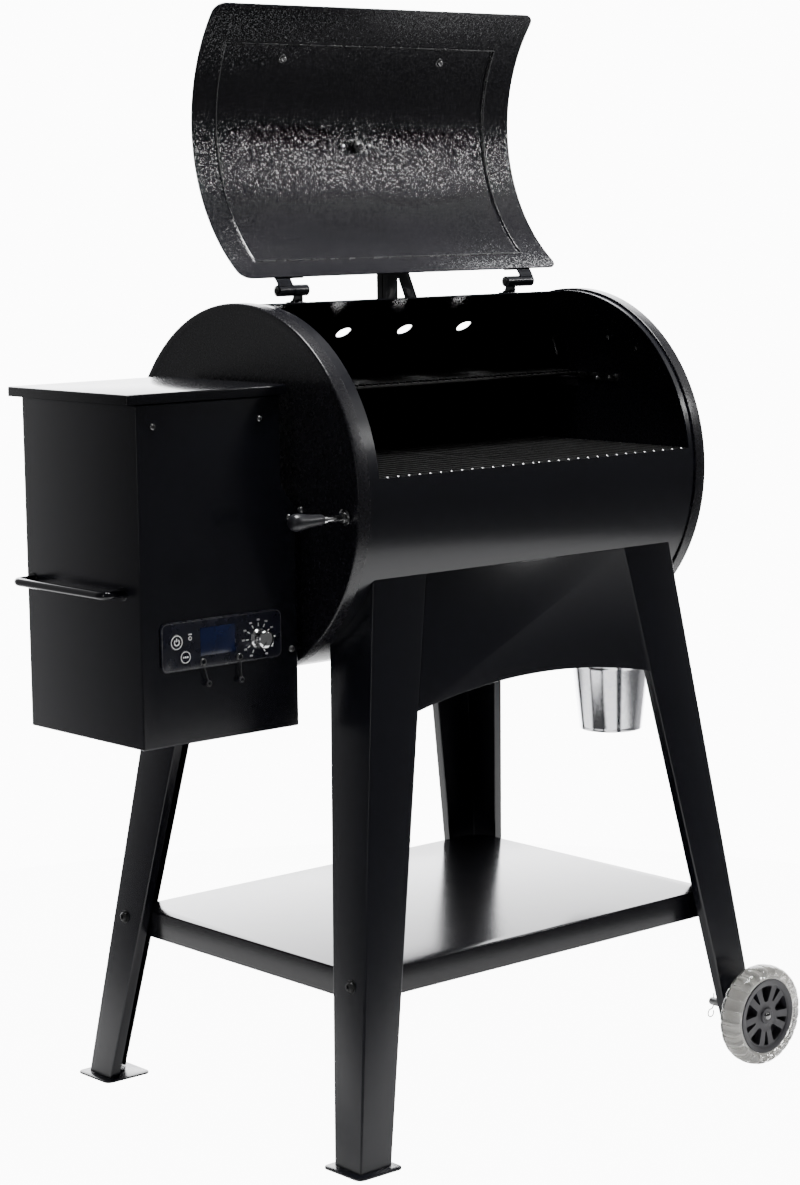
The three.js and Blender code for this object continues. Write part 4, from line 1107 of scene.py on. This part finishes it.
def hinge_bracket(x, side):
    """The fixed half: a sloped cheek and a foot on the barrel, one knuckle and the pin's heads."""
    y, z = HINGE_Y, HINGE_Z
    cheek = prism([(y - 6.5, z - 30), (y + 17, z - 30), (y + 17, z - 17.5), (y + 6.5, z + 2),
                   (y - 5, z + 3), (y - 6.5, z - 4)], "x", *reach(x, side, -14.5, -11.5))
    foot = box(*reach(x, side, -24, -3), y - 7, y + 17, z - 32, z - 16.2)
    cheek, foot = (
        rounded(cut(part, barrel_core(0.4, 360)), 0.6, 2, 50) for part in (cheek, foot))
    roll = lathe([(0, -26), (7.6, -26), (8, -25.5), (8, -0.5), (7.6, 0), (0, 0)], "x", facets=40)
    flip = Matrix.Translation((x, y, z)) @ Matrix.Diagonal((side, 1, 1, 1))
    moved(roll, flip)
    pin = lathe([(0, -27.4), (4, -27.2), (5.2, -26.3), (5.2, -25.8), (3.2, -25.8), (3.2, 26.6),
                 (5.4, 26.6), (5.4, 27.2), (4, 28.9), (0, 29)], "x", facets=28)
    moved(pin, flip)
    return merged(cheek, foot, roll), merged(pin, *(
        button_head((x + side * dx, y + 8, z - 16.3), (0, 0.1, 1), 3.4, 2.2) for dx in (-20, -7.5)))


for name, x, side in zip(("left", "right"), HINGE_X, (-1, 1)):
    piece(f"hinge_leaf_{name}_skin", hinge_leaf(x, side), "lid", "powder",
          [f"lid_hinge_leaf_{name}"], OPEN)
    bracket, pins = hinge_bracket(x, side)
    piece(f"hinge_bracket_{name}_skin", bracket, "body", "powder", [f"hinge_bracket_{name}"])
    piece(f"hinge_pin_{name}", pins, "body", "bolt")


def lid_stop():
    """A folded plate on the lid's back with one straight and one splayed foot on the barrel."""
    y0, y1 = 39.0, 59.0
    foot, crotch, top = BARREL_R - 14, 276.0, 330.0
    plate = [(-26, foot), (2, foot), (2, crotch), (5, crotch), (22, foot), (44, foot),
             (24, crotch + 8), (20, top), (-26, top)]
    face = prism(plate, "y", y0 + 6, y0 + 9)
    flange = prism([(-26, foot), (-26, top), (-23.4, top), (-23.4, foot)], "y", y0, y1)
    splay = prism([(44, foot), (24, crotch + 8), (21.2, crotch + 8), (41, foot)], "y", y0 + 6, y1)
    trimmed = []
    for part in (face, flange, splay):
        sheet = cylinder("x", RAISED_R + 0.3, -60, 60, (0, 0, 0), 240)
        moved(sheet, OPEN)
        part = cut(part, sheet, cylinder("x", BARREL_R + 0.6, -60, 60, (0, 0, 0), 240))
        trimmed.append(rounded(part, 0.5, 2, 60))
    return merged(*trimmed)


piece("lid_stop_skin", lid_stop(), "lid", "powder", ["lid_stop_bracket"])

# ---- hopper ----
def cabinet_outline(inset, top):
    c, z = CABINET, CABINET_Z
    return [(c["left"] + inset, z["bottom"] + inset), (c["lower"] - inset, z["bottom"] + inset),
            (c["lower"] - inset, z["step_end"]), (c["upper"] - inset, z["step"]),
            (c["upper"] - inset, top), (c["left"] + inset, top)]


def cabinet():
    front, back, lower = CABINET["front"], CABINET["back"], CABINET["lower"]
    shell = prism(cabinet_outline(0, CABINET_Z["top"]), "y", front, back)
    rounded(shell, 2.2, 4, 20)
    room = prism(cabinet_outline(SHEET, CABINET_Z["top"] + 8), "y", front + SHEET, back - SHEET)
    return cut(
        shell, room,
        box(PANEL["left"] + 8, PANEL["right"] - 8, front - 5, front + 5, PANEL["bottom"] + 7,
            PANEL["top"] - 7),
        cylinder("x", 23, lower - 10, lower + 5, (0, 0, AUGER_Z)),
        cylinder("y", 9.5, back - 5, back + 5, INLET))


def flange():
    """The collar between the cabinet and the barrel's cap."""
    x0, x1 = CABINET["lower"] + 0.1, -BARREL_HALF - GAP
    ring = box(x0, x1, -112, 108, -232, -30, 1.2)
    return cut(ring, box(x0 - 5, x1 + 5, -100, 96, -220, -42))


def hopper_lid():
    lid, bottom = HOPPER_LID, CABINET_Z["top"] + GAP
    top = bottom + lid["height"]
    skin = box(lid["left"], lid["right"], lid["front"], lid["back"], bottom, top)
    rounded(skin, 2.4, 4, choose=lambda e: max(v.co.z for v in e.verts) > bottom + 1)
    return cut(skin, box(lid["left"] + SHEET, lid["right"] - SHEET, lid["front"] + SHEET,
                         lid["back"] - SHEET, bottom - 4, top - SHEET))


def cabinet_screws():
    front, back = CABINET["front"], CABINET["back"]
    parts = []
    for x in (-570.3, -397.8):
        for y, way in ((front, -1), (back, 1)):
            parts.append(button_head((x, y, 108), (0, way, 0), 4.2, 2.6))
    for y in (-106, 102):
        for z in (-202, -60):
            parts.append(button_head((-346, y * 1.02, z), (0, math.copysign(1, y), 0), 3.6, 2.2))
    for z in (-202.3, -26):
        parts.append(button_head((-351.1, front, z), (0, -1, 0), 4.6, 3.0))
    parts.append(button_head((-BARREL_HALF, -133, -18), (-1, 0, 0), 4.6, 3.0))
    return merged(*parts)


piece("cabinet_skin", cabinet(), "body", "powder", ["hopper_cabinet"])
piece("cabinet_flange", flange(), "body", "powder")
piece("cabinet_screws", cabinet_screws(), "body", "screw")
piece("hopper_lid_skin", hopper_lid(), "hopper_cover", "shelf", ["hopper_lid"])


def side_handle():
    out, z = CABINET["left"] - 29.7, -107.0
    wall = CABINET["left"] - 0.2
    path = rounded_path([(wall, -98, z), (out, -98, z), (out, 108, z), (wall, 108, z)], 14, 10)
    return merged(tube(path, 5.5, 20), *(
        washer((wall + 0.2, y, z), (-1, 0, 0), 9, 1.4) for y in (-98, 108)))


piece("side_handle_skin", side_handle(), "body", "gloss", ["hopper_handle"])


def power_inlet():
    back = CABINET["back"]
    return lathe([
        (0, back + GAP), (13, back + GAP), (13, back + 1.6), (12.4, back + 2.4), (11, back + 3),
        (9.4, back + 5), (8.8, back + 8), (7.4, back + 11.5), (6.6, back + 14), (4.2, back + 14),
        (4.0, back + 9), (0, back + 9)], "y", INLET, 40)


piece("power_inlet_skin", power_inlet(), "body", "rubber", ["power_inlet"])


# ---- controller ----
def rounded_rectangle(x0, x1, z0, z1, r, steps=6):
    outline = []
    for cx, cz, a in ((x1 - r, z0 + r, 270), (x1 - r, z1 - r, 0), (x0 + r, z1 - r, 90),
                      (x0 + r, z0 + r, 180)):
        outline += corner_arc(cx, cz, r, a, a + 90, steps)
    return outline


def frame_line(x0, x1, z0, z1, r, width, y0, y1):
    """A thin rounded frame, as two outlines joined by quads."""
    outer = rounded_rectangle(x0, x1, z0, z1, r)
    inner = rounded_rectangle(x0 + width, x1 - width, z0 + width, z1 - width, r - width)
    mesh = bmesh.new()
    loops = [[mesh.verts.new((x, y, z)) for x, z in line]
             for line, y in ((outer, y0), (inner, y0), (inner, y1), (outer, y1))]
    stitch(mesh, loops + loops[:1])
    return mesh


def ring(centre, radius, width, y0, y1, facets=48):
    x, z = centre
    return lathe([(radius - width, y0), (radius, y0), (radius, y1), (radius - width, y1),
                  (radius - width, y0)], "y", (x, 0, z), facets)


def control_panel():
    back = CABINET["front"] - GAP
    plate = prism(rounded_rectangle(
        PANEL["left"], PANEL["right"], PANEL["bottom"], PANEL["top"], 9), "y", FACE, back)
    rounded(plate, 0.7, 2, 60)
    return cut(
        plate,
        cylinder("y", 10.4, FACE - 3, FACE + 4, (POWER[0], 0, POWER[1])),
        cylinder("y", 9.0, FACE - 3, FACE + 4, (PRIME[0], 0, PRIME[1])),
        box(DISPLAY["left"] - 0.4, DISPLAY["right"] + 0.4, FACE - 1, FACE + 1.6,
            DISPLAY["bottom"] - 0.4, DISPLAY["top"] + 0.4))


def display():
    d = DISPLAY
    return box(d["left"], d["right"], FACE + 0.15, FACE + 1.2, d["bottom"], d["top"], 0.3)


def key(centre, radius):
    x, z = centre
    low, top = FACE + 1.0, FACE - 1.5
    return lathe([(0, low), (radius, low), (radius, top + 0.7), (radius - 0.7, top), (0, top)], "y",
                 (x, 0, z), 48)


# Stands lettering up, to be read from the front.
FACING = Matrix(((1, 0, 0, 0), (0, 0, -1, 0), (0, 1, 0, 0), (0, 0, 0, 1)))


def panel_print():
    """Tick marks and temperatures round the dial, and the lamp's ring under three short marks."""
    y0, y1 = FACE - 0.25, FACE + 0.1
    x, z = LAMP
    parts = [ring(LAMP, 2.7, 0.9, y0, y1, 24)]
    for i in range(3):
        parts.append(box(x - 2.4 + i * 1.8, x - 1.2 + i * 1.8, y0, y1, z + 4.4, z + 6.0))
    for i in range(11):
        a = math.radians(-150 + 30 * i)
        tick = box(-0.6, 0.6, y0, y1, 16.4, 21.0)
        turn = Matrix.Translation((DIAL[0], 0, DIAL[1])) @ Matrix.Rotation(a, 4, "Y")
        parts.append(moved(tick, turn))
        spot = (DIAL[0] + 25.6 * math.sin(a), y0, DIAL[1] + 25.0 * math.cos(a))
        parts.append(text_mesh(str(200 + 25 * i), 3.3, Matrix.Translation(spot) @ FACING))
    return merged(*parts)


def power_mark():
    """A ring and the common on-off sign."""
    y0, y1 = FACE - 1.75, FACE - 1.45
    x, z = POWER
    arc = [(x + 3.9 * math.sin(a), y0, z + 3.9 * math.cos(a))
           for a in [math.radians(40 + 280 * i / 24) for i in range(25)]]
    return merged(ring(POWER, 9.2, 1.0, y0, y1), tube(arc, 0.75, 8),
                  box(x - 0.7, x + 0.7, y0, y1, z + 0.8, z + 5.4))


def prime_mark():
    y0, y1 = FACE - 1.75, FACE - 1.45
    x, z = PRIME
    bars = [box(x - 4.2 + i * 3.2, x - 2.2 + i * 3.2, y0, y1, z - 1.1, z + 1.1) for i in range(3)]
    return merged(ring(PRIME, 7.8, 0.9, y0, y1), *bars)


def sockets():
    y = FACE - 2.5
    return merged(*(lathe([
        (3.0, FACE + 0.5), (3.0, y + 0.8), (3.5, y), (4.5, y), (5, y + 0.8), (5, FACE + 0.2),
        (3.0, FACE + 0.5)], "y", (x, 0, JACK_Z), 36) for x in JACKS))


def knob():
    """A turned chrome knob with a skirt, flutes on its waist and a pointer line."""
    end, facets, flutes = FACE - 20, 120, 20
    mesh = bmesh.new()
    profile = [(4, FACE - 0.6), (13.9, FACE - 0.6), (14, FACE - 1.6), (13.4, FACE - 3.0),
               (12.2, FACE - 4.4), (11.8, FACE - 6), (12.2, FACE - 8), (12.5, FACE - 12),
               (12.5, end + 4), (12.1, end + 2.4), (11.2, end + 1.3), (9.6, end + 0.7),
               (6.5, end + 0.2)]
    rings = []
    for r, y in profile:
        fluted = FACE - 15 < y < FACE - 5
        row = []
        for i in range(facets):
            a = math.tau * i / facets
            radius = r - (0.45 * (0.5 + 0.5 * math.cos(flutes * a)) if fluted else 0)
            row.append(mesh.verts.new((radius * math.sin(a), y, radius * math.cos(a))))
        rings.append(row)
    rings.append([mesh.verts.new((0, end, 0))])
    mesh.faces.new(rings[0])
    stitch(mesh, rings)
    return mesh, box(-0.8, 0.8, end - 0.15, end + 1.2, 3.5, 11.2, 0.2)


def probe_cap(socket_x, degrees):
    """A soft ring on a strap that hangs under its socket."""
    y, drop = FACE - 2.6, -24.5
    strap = tube([(0, y, -1), (0.3, y, -8), (-0.2, y, -15), (0, y, -20.5)], 0.9, 8)
    loop = tube([(x, y, drop + z) for z, x in circle(3.15, 28)], 1.15, 10, True)
    hang = Matrix.Translation((socket_x, 0, JACK_Z - 6))
    return moved(merged(strap, loop), hang @ Matrix.Rotation(math.radians(-degrees), 4, "Y"))


def panel_outline():
    inset = 1.4
    return frame_line(PANEL["left"] + inset, PANEL["right"] - inset, PANEL["bottom"] + inset,
                      PANEL["top"] - inset, 7.8, 0.5, FACE - 0.2, FACE + 0.1)


piece("panel_skin", control_panel(), "body", "panel", ["control_panel"])
piece("panel_outline", panel_outline(), "body", "outline")
piece("display_skin", display(), "body", "display", ["display_window"])
piece("panel_print", panel_print(), "body", "print")
piece("socket_rings", sockets(), "body", "screw")
piece("power_key_skin", key(POWER, 10.0), "power_key", "panel", ["power_button"])
piece("power_key_mark", power_mark(), "power_key", "print")
piece("prime_key_skin", key(PRIME, 8.6), "prime_key", "panel", ["prime_button"])
piece("prime_key_mark", prime_mark(), "prime_key", "print")
knob_body, knob_pointer = knob()
DIAL_TURN = Matrix.Translation((DIAL[0], 0, DIAL[1])) @ Matrix.Rotation(math.radians(-140), 4, "Y")
piece("knob_skin", knob_body, "dial", "chrome", ["temperature_knob"], DIAL_TURN)
piece("knob_pointer", knob_pointer, "dial", "ink", turn=DIAL_TURN)
piece("left_probe_cap", probe_cap(JACKS[0], 19), "left_cap", "rubber", ["probe_cap_left"])
piece("right_probe_cap", probe_cap(JACKS[1], 3), "right_cap", "rubber", ["probe_cap_right"])


# ---- broiler slide ----
def slide_grip():
    """A moulded bulb that fattens towards its free end."""
    profile = [(0, -421.0), (4.5, -420.6), (8.2, -419.2), (10.4, -416.4), (11.5, -412.0),
               (11.3, -407), (10.3, -401), (9.2, -394), (8.3, -385), (7.6, -376), (7.2, -370),
               (6.6, -367.4), (5.4, -366.8), (0, -366.8)]
    return lathe(profile, "x", SLIDE_AXIS, 48)


def slide_rod():
    r = ROD_R
    rod = lathe([(0, -366.4), (r, -366.4), (r, -61), (r - 1, -60), (0, -60)], "x",
                SLIDE_AXIS, 32)
    ferrule = lathe([(0, -369), (6.4, -369), (6.4, -363), (5.6, -362), (0, -362)], "x",
                    SLIDE_AXIS, 32)
    return merged(rod, ferrule)


def slide_plate():
    slope = (103.0 - 38.0) / 232.0
    front, back = SLIDE_Y, -58.0

    def line(y, lift):
        return -38.0 + lift - slope * (y + 232.0)

    outline = [(front - 4, SLIDE_Z), (front + 4, SLIDE_Z), (front + 4, line(front + 4, 7)),
               (back, line(back, 6)), (back, line(back, 4)), (front - 4, line(front - 4, 5))]
    return prism(outline, "x", -86, 74, 0.4)


def bushing():
    wall = -BARREL_HALF - GAP
    r = ROD_R + 0.5
    return lathe([
        (r, wall), (11, wall), (11, wall - 1.0), (10, wall - 1.6), (7.6, wall - 1.8),
        (7.2, wall - 5.0),
        (6.6, wall - 5.65), (r, wall - 5.65), (r, wall)], "x", SLIDE_AXIS, 40)


piece("grip_skin", slide_grip(), "broiler", "grip", ["broiler_grip"])
piece("slide_rod_skin", slide_rod(), "broiler", "chrome", ["broiler_slide"])
piece("slide_plate", slide_plate(), "broiler", "iron")
piece("bushing_skin", bushing(), "body", "screw", ["broiler_rod_bushing"])


# ---- grates ----
GRATES = {"left": (-311.0, -3.0, -325.0, -5.0), "right": (3.0, 311.0, 5.0, 325.0)}
BARS, BAR_R, BAR_END = 17, 2.6, 242.0  # the main grates' bars, and how far they run to the front


def bar_spacing(x0, x1):
    return spread(x0 + BAR_R, x1 - BAR_R, BARS - 1)


def main_grate(x0, x1, rail0, rail1):
    """Round bars from front to back on three cross rails."""
    z, rail_z = GRATE_TOP - BAR_R, GRATE_TOP - 8.2
    parts = [tube([(x, -BAR_END, z), (x, BAR_END, z)], BAR_R, 10) for x in bar_spacing(x0, x1)]
    parts += [tube([(rail0, y, rail_z), (rail1, y, rail_z)], 3.0, 10) for y in (-225, 0, 225)]
    return merged(*parts)


def grate_tips():
    """The bright rounded rod ends along the front of the main grates."""
    bulb = [(0, -3.0), (1.7, -2.5), (2.7, -1.2), (3.0, 0), (2.7, 1.2), (1.7, 2.5), (0, 3.0)]
    return merged(*(
        lathe(bulb, "y", (x, 0.5 - BAR_END, GRATE_TOP - 0.6), 12)
        for x0, x1, _, _ in GRATES.values() for x in bar_spacing(x0, x1)))


def upper_rack():
    z, rail_z = RACK_Z - 1.6, RACK_Z - 5.8
    parts = [tube([(x, 7.5, z), (x, 202.5, z)], 1.55, 8) for x in spread(-309, 309, 49)]
    parts += [tube([(-325, y, rail_z), (325, y, rail_z)], 2.8, 10) for y in (10, 105, 200)]
    return merged(*parts)


for name, spans in GRATES.items():
    piece(f"grate_{name}_bars", main_grate(*spans), "body", "grate", [f"main_grate_{name}"])
piece("grate_tips", grate_tips(), "body", "screw")
piece("rack_bars", upper_rack(), "body", "grate", ["upper_rack"])


# ---- grease gear ----
def spout():
    end, r = SPOUT_END, SPOUT_R
    pipe = lathe([
        (r - 2, 321), (r, 321), (r, end - 4), (r + 2, end - 3), (r + 3, end - 1.5),
        (r + 2.4, end - 0.2), (r + 1.2, end), (r - 1.4, end - 0.6), (r - 2, end - 2),
        (r - 2, 321)], "x", (0, 0, SPOUT_Z), 48)
    cup = box(297, 320.6, -22, 22, SPOUT_Z - 15, SPOUT_Z + 32, 1.5)
    cup = cut(cup, box(299.5, 318.4, -19.5, 19.5, SPOUT_Z - 12, SPOUT_Z + 40),
              cylinder("x", r - 2, 310, 330, (0, 0, SPOUT_Z)))
    return merged(cup, pipe)


def bucket():
    """A drawn pail with a rolled rim, a base bead and two swaged rings."""
    bottom, height, wide, narrow = BUCKET_BOTTOM, BUCKET_HEIGHT, 62.0, 48.0
    top = bottom + height
    profile = [(0, bottom + 3), (narrow - 4, bottom + 3), (narrow - 2.6, bottom + 1),
               (narrow - 1.2, bottom + 0.2), (narrow, bottom + 0.9), (narrow + 0.3, bottom + 2.4)]
    for i in range(1, 60):
        t = i / 60
        bead = sum(0.8 * math.exp(-((t - spot) / 0.014) ** 2) for spot in (0.80, 0.86))
        profile.append((narrow + (wide - narrow) * t + bead, bottom + 2.4 + (height - 6) * t))
    for i in range(9):
        a = math.radians(-70 + 250 * i / 8)
        profile.append((wide + 0.4 + 1.9 * math.cos(a), top - 2.0 + 1.9 * math.sin(a)))
    profile += [(wide - 1.6, top - 5), (narrow - 1.6, bottom + 5), (0, bottom + 5)]
    ears = []
    for side in (-1, 1):
        start, end = side * (wide - 2.5), side * (wide + 4.8)
        ears.append(lathe([(0, start), (4, start), (4, end - side * 0.8), (3.2, end), (0, end)],
                          "y", (0, 0, top - 10), 24))
        ears.append(box(-9, 9, *sorted((side * (wide - 0.9), side * (wide + 0.9))),
                        top - 19, top - 4, 0.4))
    return merged(lathe(profile, "z", facets=96), *ears)


def bail():
    top = BUCKET_BOTTOM + BUCKET_HEIGHT - 10
    y, crown = 70.0, SPOUT_Z + SPOUT_R + 2.4
    path = rounded_path([(0, -y, top + 8.4), (0, -y, crown - 42), (0, -22, crown), (0, 22, crown),
                         (0, y, crown - 42), (0, y, top + 8.4)], 14, 10)
    eyes = []
    for side in (-1, 1):
        eyes.append(tube([(x, side * y, top + z) for z, x in circle(6.6, 30)], 2.0, 10, True))
    return merged(tube(path, 2.0, 12), *eyes)


piece("spout_skin", spout(), "body", "powder", ["drain_spout"])
AT_BUCKET = Matrix.Translation((BUCKET_X, 0, 0))
piece("bucket_skin", bucket(), "bucket", "galvanised", ["grease_bucket"], AT_BUCKET)
piece("bail_skin", bail(), "bail", "steel", ["bucket_bail"], AT_BUCKET)

# ---- materials of the CAD nodes that stay ----
for kept, material in {
        "hopper_bin": "galvanised", "hopper_safety_screen": "steel", "auger_tube": "steel",
        "auger_screw": "steel", "auger_motor": "motor", "combustion_fan_housing": "motor",
        "fan_impeller": "steel", "fire_pot": "iron", "igniter_rod": "steel",
        "flame_broiler_plate": "iron"}.items():
    data = frame["nodes"][kept].data
    data.materials.clear()
    data.materials.append(MAT[material])


# ---- floor, light and camera ----
FLOOR_RADIUS = 1.5  # metres
FLOOR_GLOW = 0.35  # light that the studio floor throws back up
FLOOR_WHITE = 0.94  # how far the floor turns into the backdrop's white for the camera
BACKDROP = 12.0  # brightness of the white behind everything
WALL, WALL_AZIMUTH = 9.0, 40.0  # the studio wall seen in reflections, behind the grill


def floor():
    """A pale round floor. To the eye it carries the backdrop's white, over its own soft shadows."""
    mesh = bmesh.new()
    bmesh.ops.create_circle(mesh, cap_ends=True, segments=128, radius=FLOOR_RADIUS)
    data = data_of("floor", mesh)
    s = Shader("floor_pale", grey(0.84), 0.8, specular=0.1)
    s.vary_color(s.noise(3, 3), grey(0.83), grey(0.85))
    white = node(s.tree, "Emission", {"Strength": BACKDROP})
    path = node(s.tree, "LightPath")
    share = node(s.tree, "Math", {1: FLOOR_WHITE}, "MULTIPLY")
    s.set("Emission Color", (1, 1, 1, 1))
    s.set("Emission Strength", FLOOR_GLOW)
    mix = node(s.tree, "MixShader")
    s.link(path.outputs["Is Camera Ray"], share.inputs[0])
    s.link(share.outputs["Value"], mix.inputs["Fac"])
    s.link(s.shader.outputs["BSDF"], mix.inputs[1])
    s.link(white.outputs["Emission"], mix.inputs[2])
    s.link(mix.outputs["Shader"], s.tree.nodes["Material Output"].inputs["Surface"])
    data.materials.append(s.material)
    thing = placed("floor", data)
    thing.location.z = -0.0004  # metres; keeps the floor clear of the feet


def softbox(name, azimuth, elevation, distance, size, power, target=(0, 0, 0.8), spread_angle=180):
    """An area light facing the target from a compass direction: 0 is the back, 90 the right."""
    light = bpy.data.lights.new(name, "AREA")
    light.shape = "RECTANGLE"
    light.size, light.size_y = size
    light.energy = power
    light.spread = math.radians(spread_angle)
    thing = placed(name, light)
    a, e = math.radians(azimuth), math.radians(elevation)
    way = Vector((math.sin(a) * math.cos(e), math.cos(a) * math.cos(e), math.sin(e)))
    thing.location = Vector(target) + way * distance
    thing.rotation_euler = way.to_track_quat("Z", "Y").to_euler()


def world():
    """White to the eye. Reflections show a bright wall behind the grill, and the rest dim."""
    studio = bpy.data.worlds.new("studio")
    bpy.context.scene.world = studio
    studio.use_nodes = True
    tree = studio.node_tree
    tree.nodes.clear()
    output = node(tree, "OutputWorld")
    mix = node(tree, "MixShader")
    seen = node(tree, "Background", {"Color": (1, 1, 1, 1), "Strength": BACKDROP})
    lit = node(tree, "Background", {"Strength": WALL})
    path = node(tree, "LightPath")
    coordinates = node(tree, "TexCoord")
    yaw = math.radians(WALL_AZIMUTH)
    dot = node(tree, "VectorMath", {1: (math.sin(yaw), math.cos(yaw), 0)}, "DOT_PRODUCT")
    ramp = node(tree, "ValToRGB")
    stops = ramp.color_ramp.elements
    for _ in range(2):
        stops.new(0.5)
    levels = ((0.0, 0.012), (0.30, 0.045), (0.66, 0.07), (0.84, 1.0))  # up towards the wall
    for stop, (position, level) in zip(stops, levels):
        stop.position, stop.color = position, (level, level, level * 1.02, 1)
    link = tree.links.new
    link(coordinates.outputs["Generated"], dot.inputs[0])
    link(dot.outputs["Value"], ramp.inputs["Fac"])
    link(ramp.outputs["Color"], lit.inputs["Color"])
    link(path.outputs["Is Camera Ray"], mix.inputs["Fac"])
    link(lit.outputs["Background"], mix.inputs[1])
    link(seen.outputs["Background"], mix.inputs[2])
    link(mix.outputs["Shader"], output.inputs["Surface"])


EYE = (-2678.18, -3035.99, 396.33)
YAW, PITCH, ROLL = math.radians(40.978), math.radians(8.040), math.radians(-0.795)
SENSOR = 36.0
FOCAL = 2821.85 / 1185 * SENSOR  # the sensor lies along the picture's height of 1185


def camera():
    forward = Vector((
        math.sin(YAW) * math.cos(PITCH), math.cos(YAW) * math.cos(PITCH), -math.sin(PITCH)))
    right = Vector((math.cos(YAW), -math.sin(YAW), 0))
    up = right.cross(forward)
    right, up = (right * math.cos(ROLL) + up * math.sin(ROLL),
                 up * math.cos(ROLL) - right * math.sin(ROLL))
    data = bpy.data.cameras.new("camera")
    data.sensor_fit = "AUTO"
    data.sensor_width, data.lens = SENSOR, FOCAL
    data.clip_start, data.clip_end = 0.1, 200.0
    thing = placed("camera", data)
    turn = Matrix((right, up, -forward)).transposed().to_4x4()
    thing.matrix_world = Matrix.Translation(at(EYE)) @ turn
    bpy.context.scene.camera = thing


floor()
world()
# Azimuth and elevation in degrees, distance and size in metres, power in watts.
softbox("overhead", 160, 84, 2.9, (1.3, 1.3), 55, spread_angle=90)
softbox("front_right", 127, 36, 3.6, (1.9, 1.1), 7)
softbox("sparkle", 132, 24, 4.1, (0.34, 0.34), 30)
softbox("left_edge", -112, 8, 3.6, (0.30, 1.7), 9)
camera()
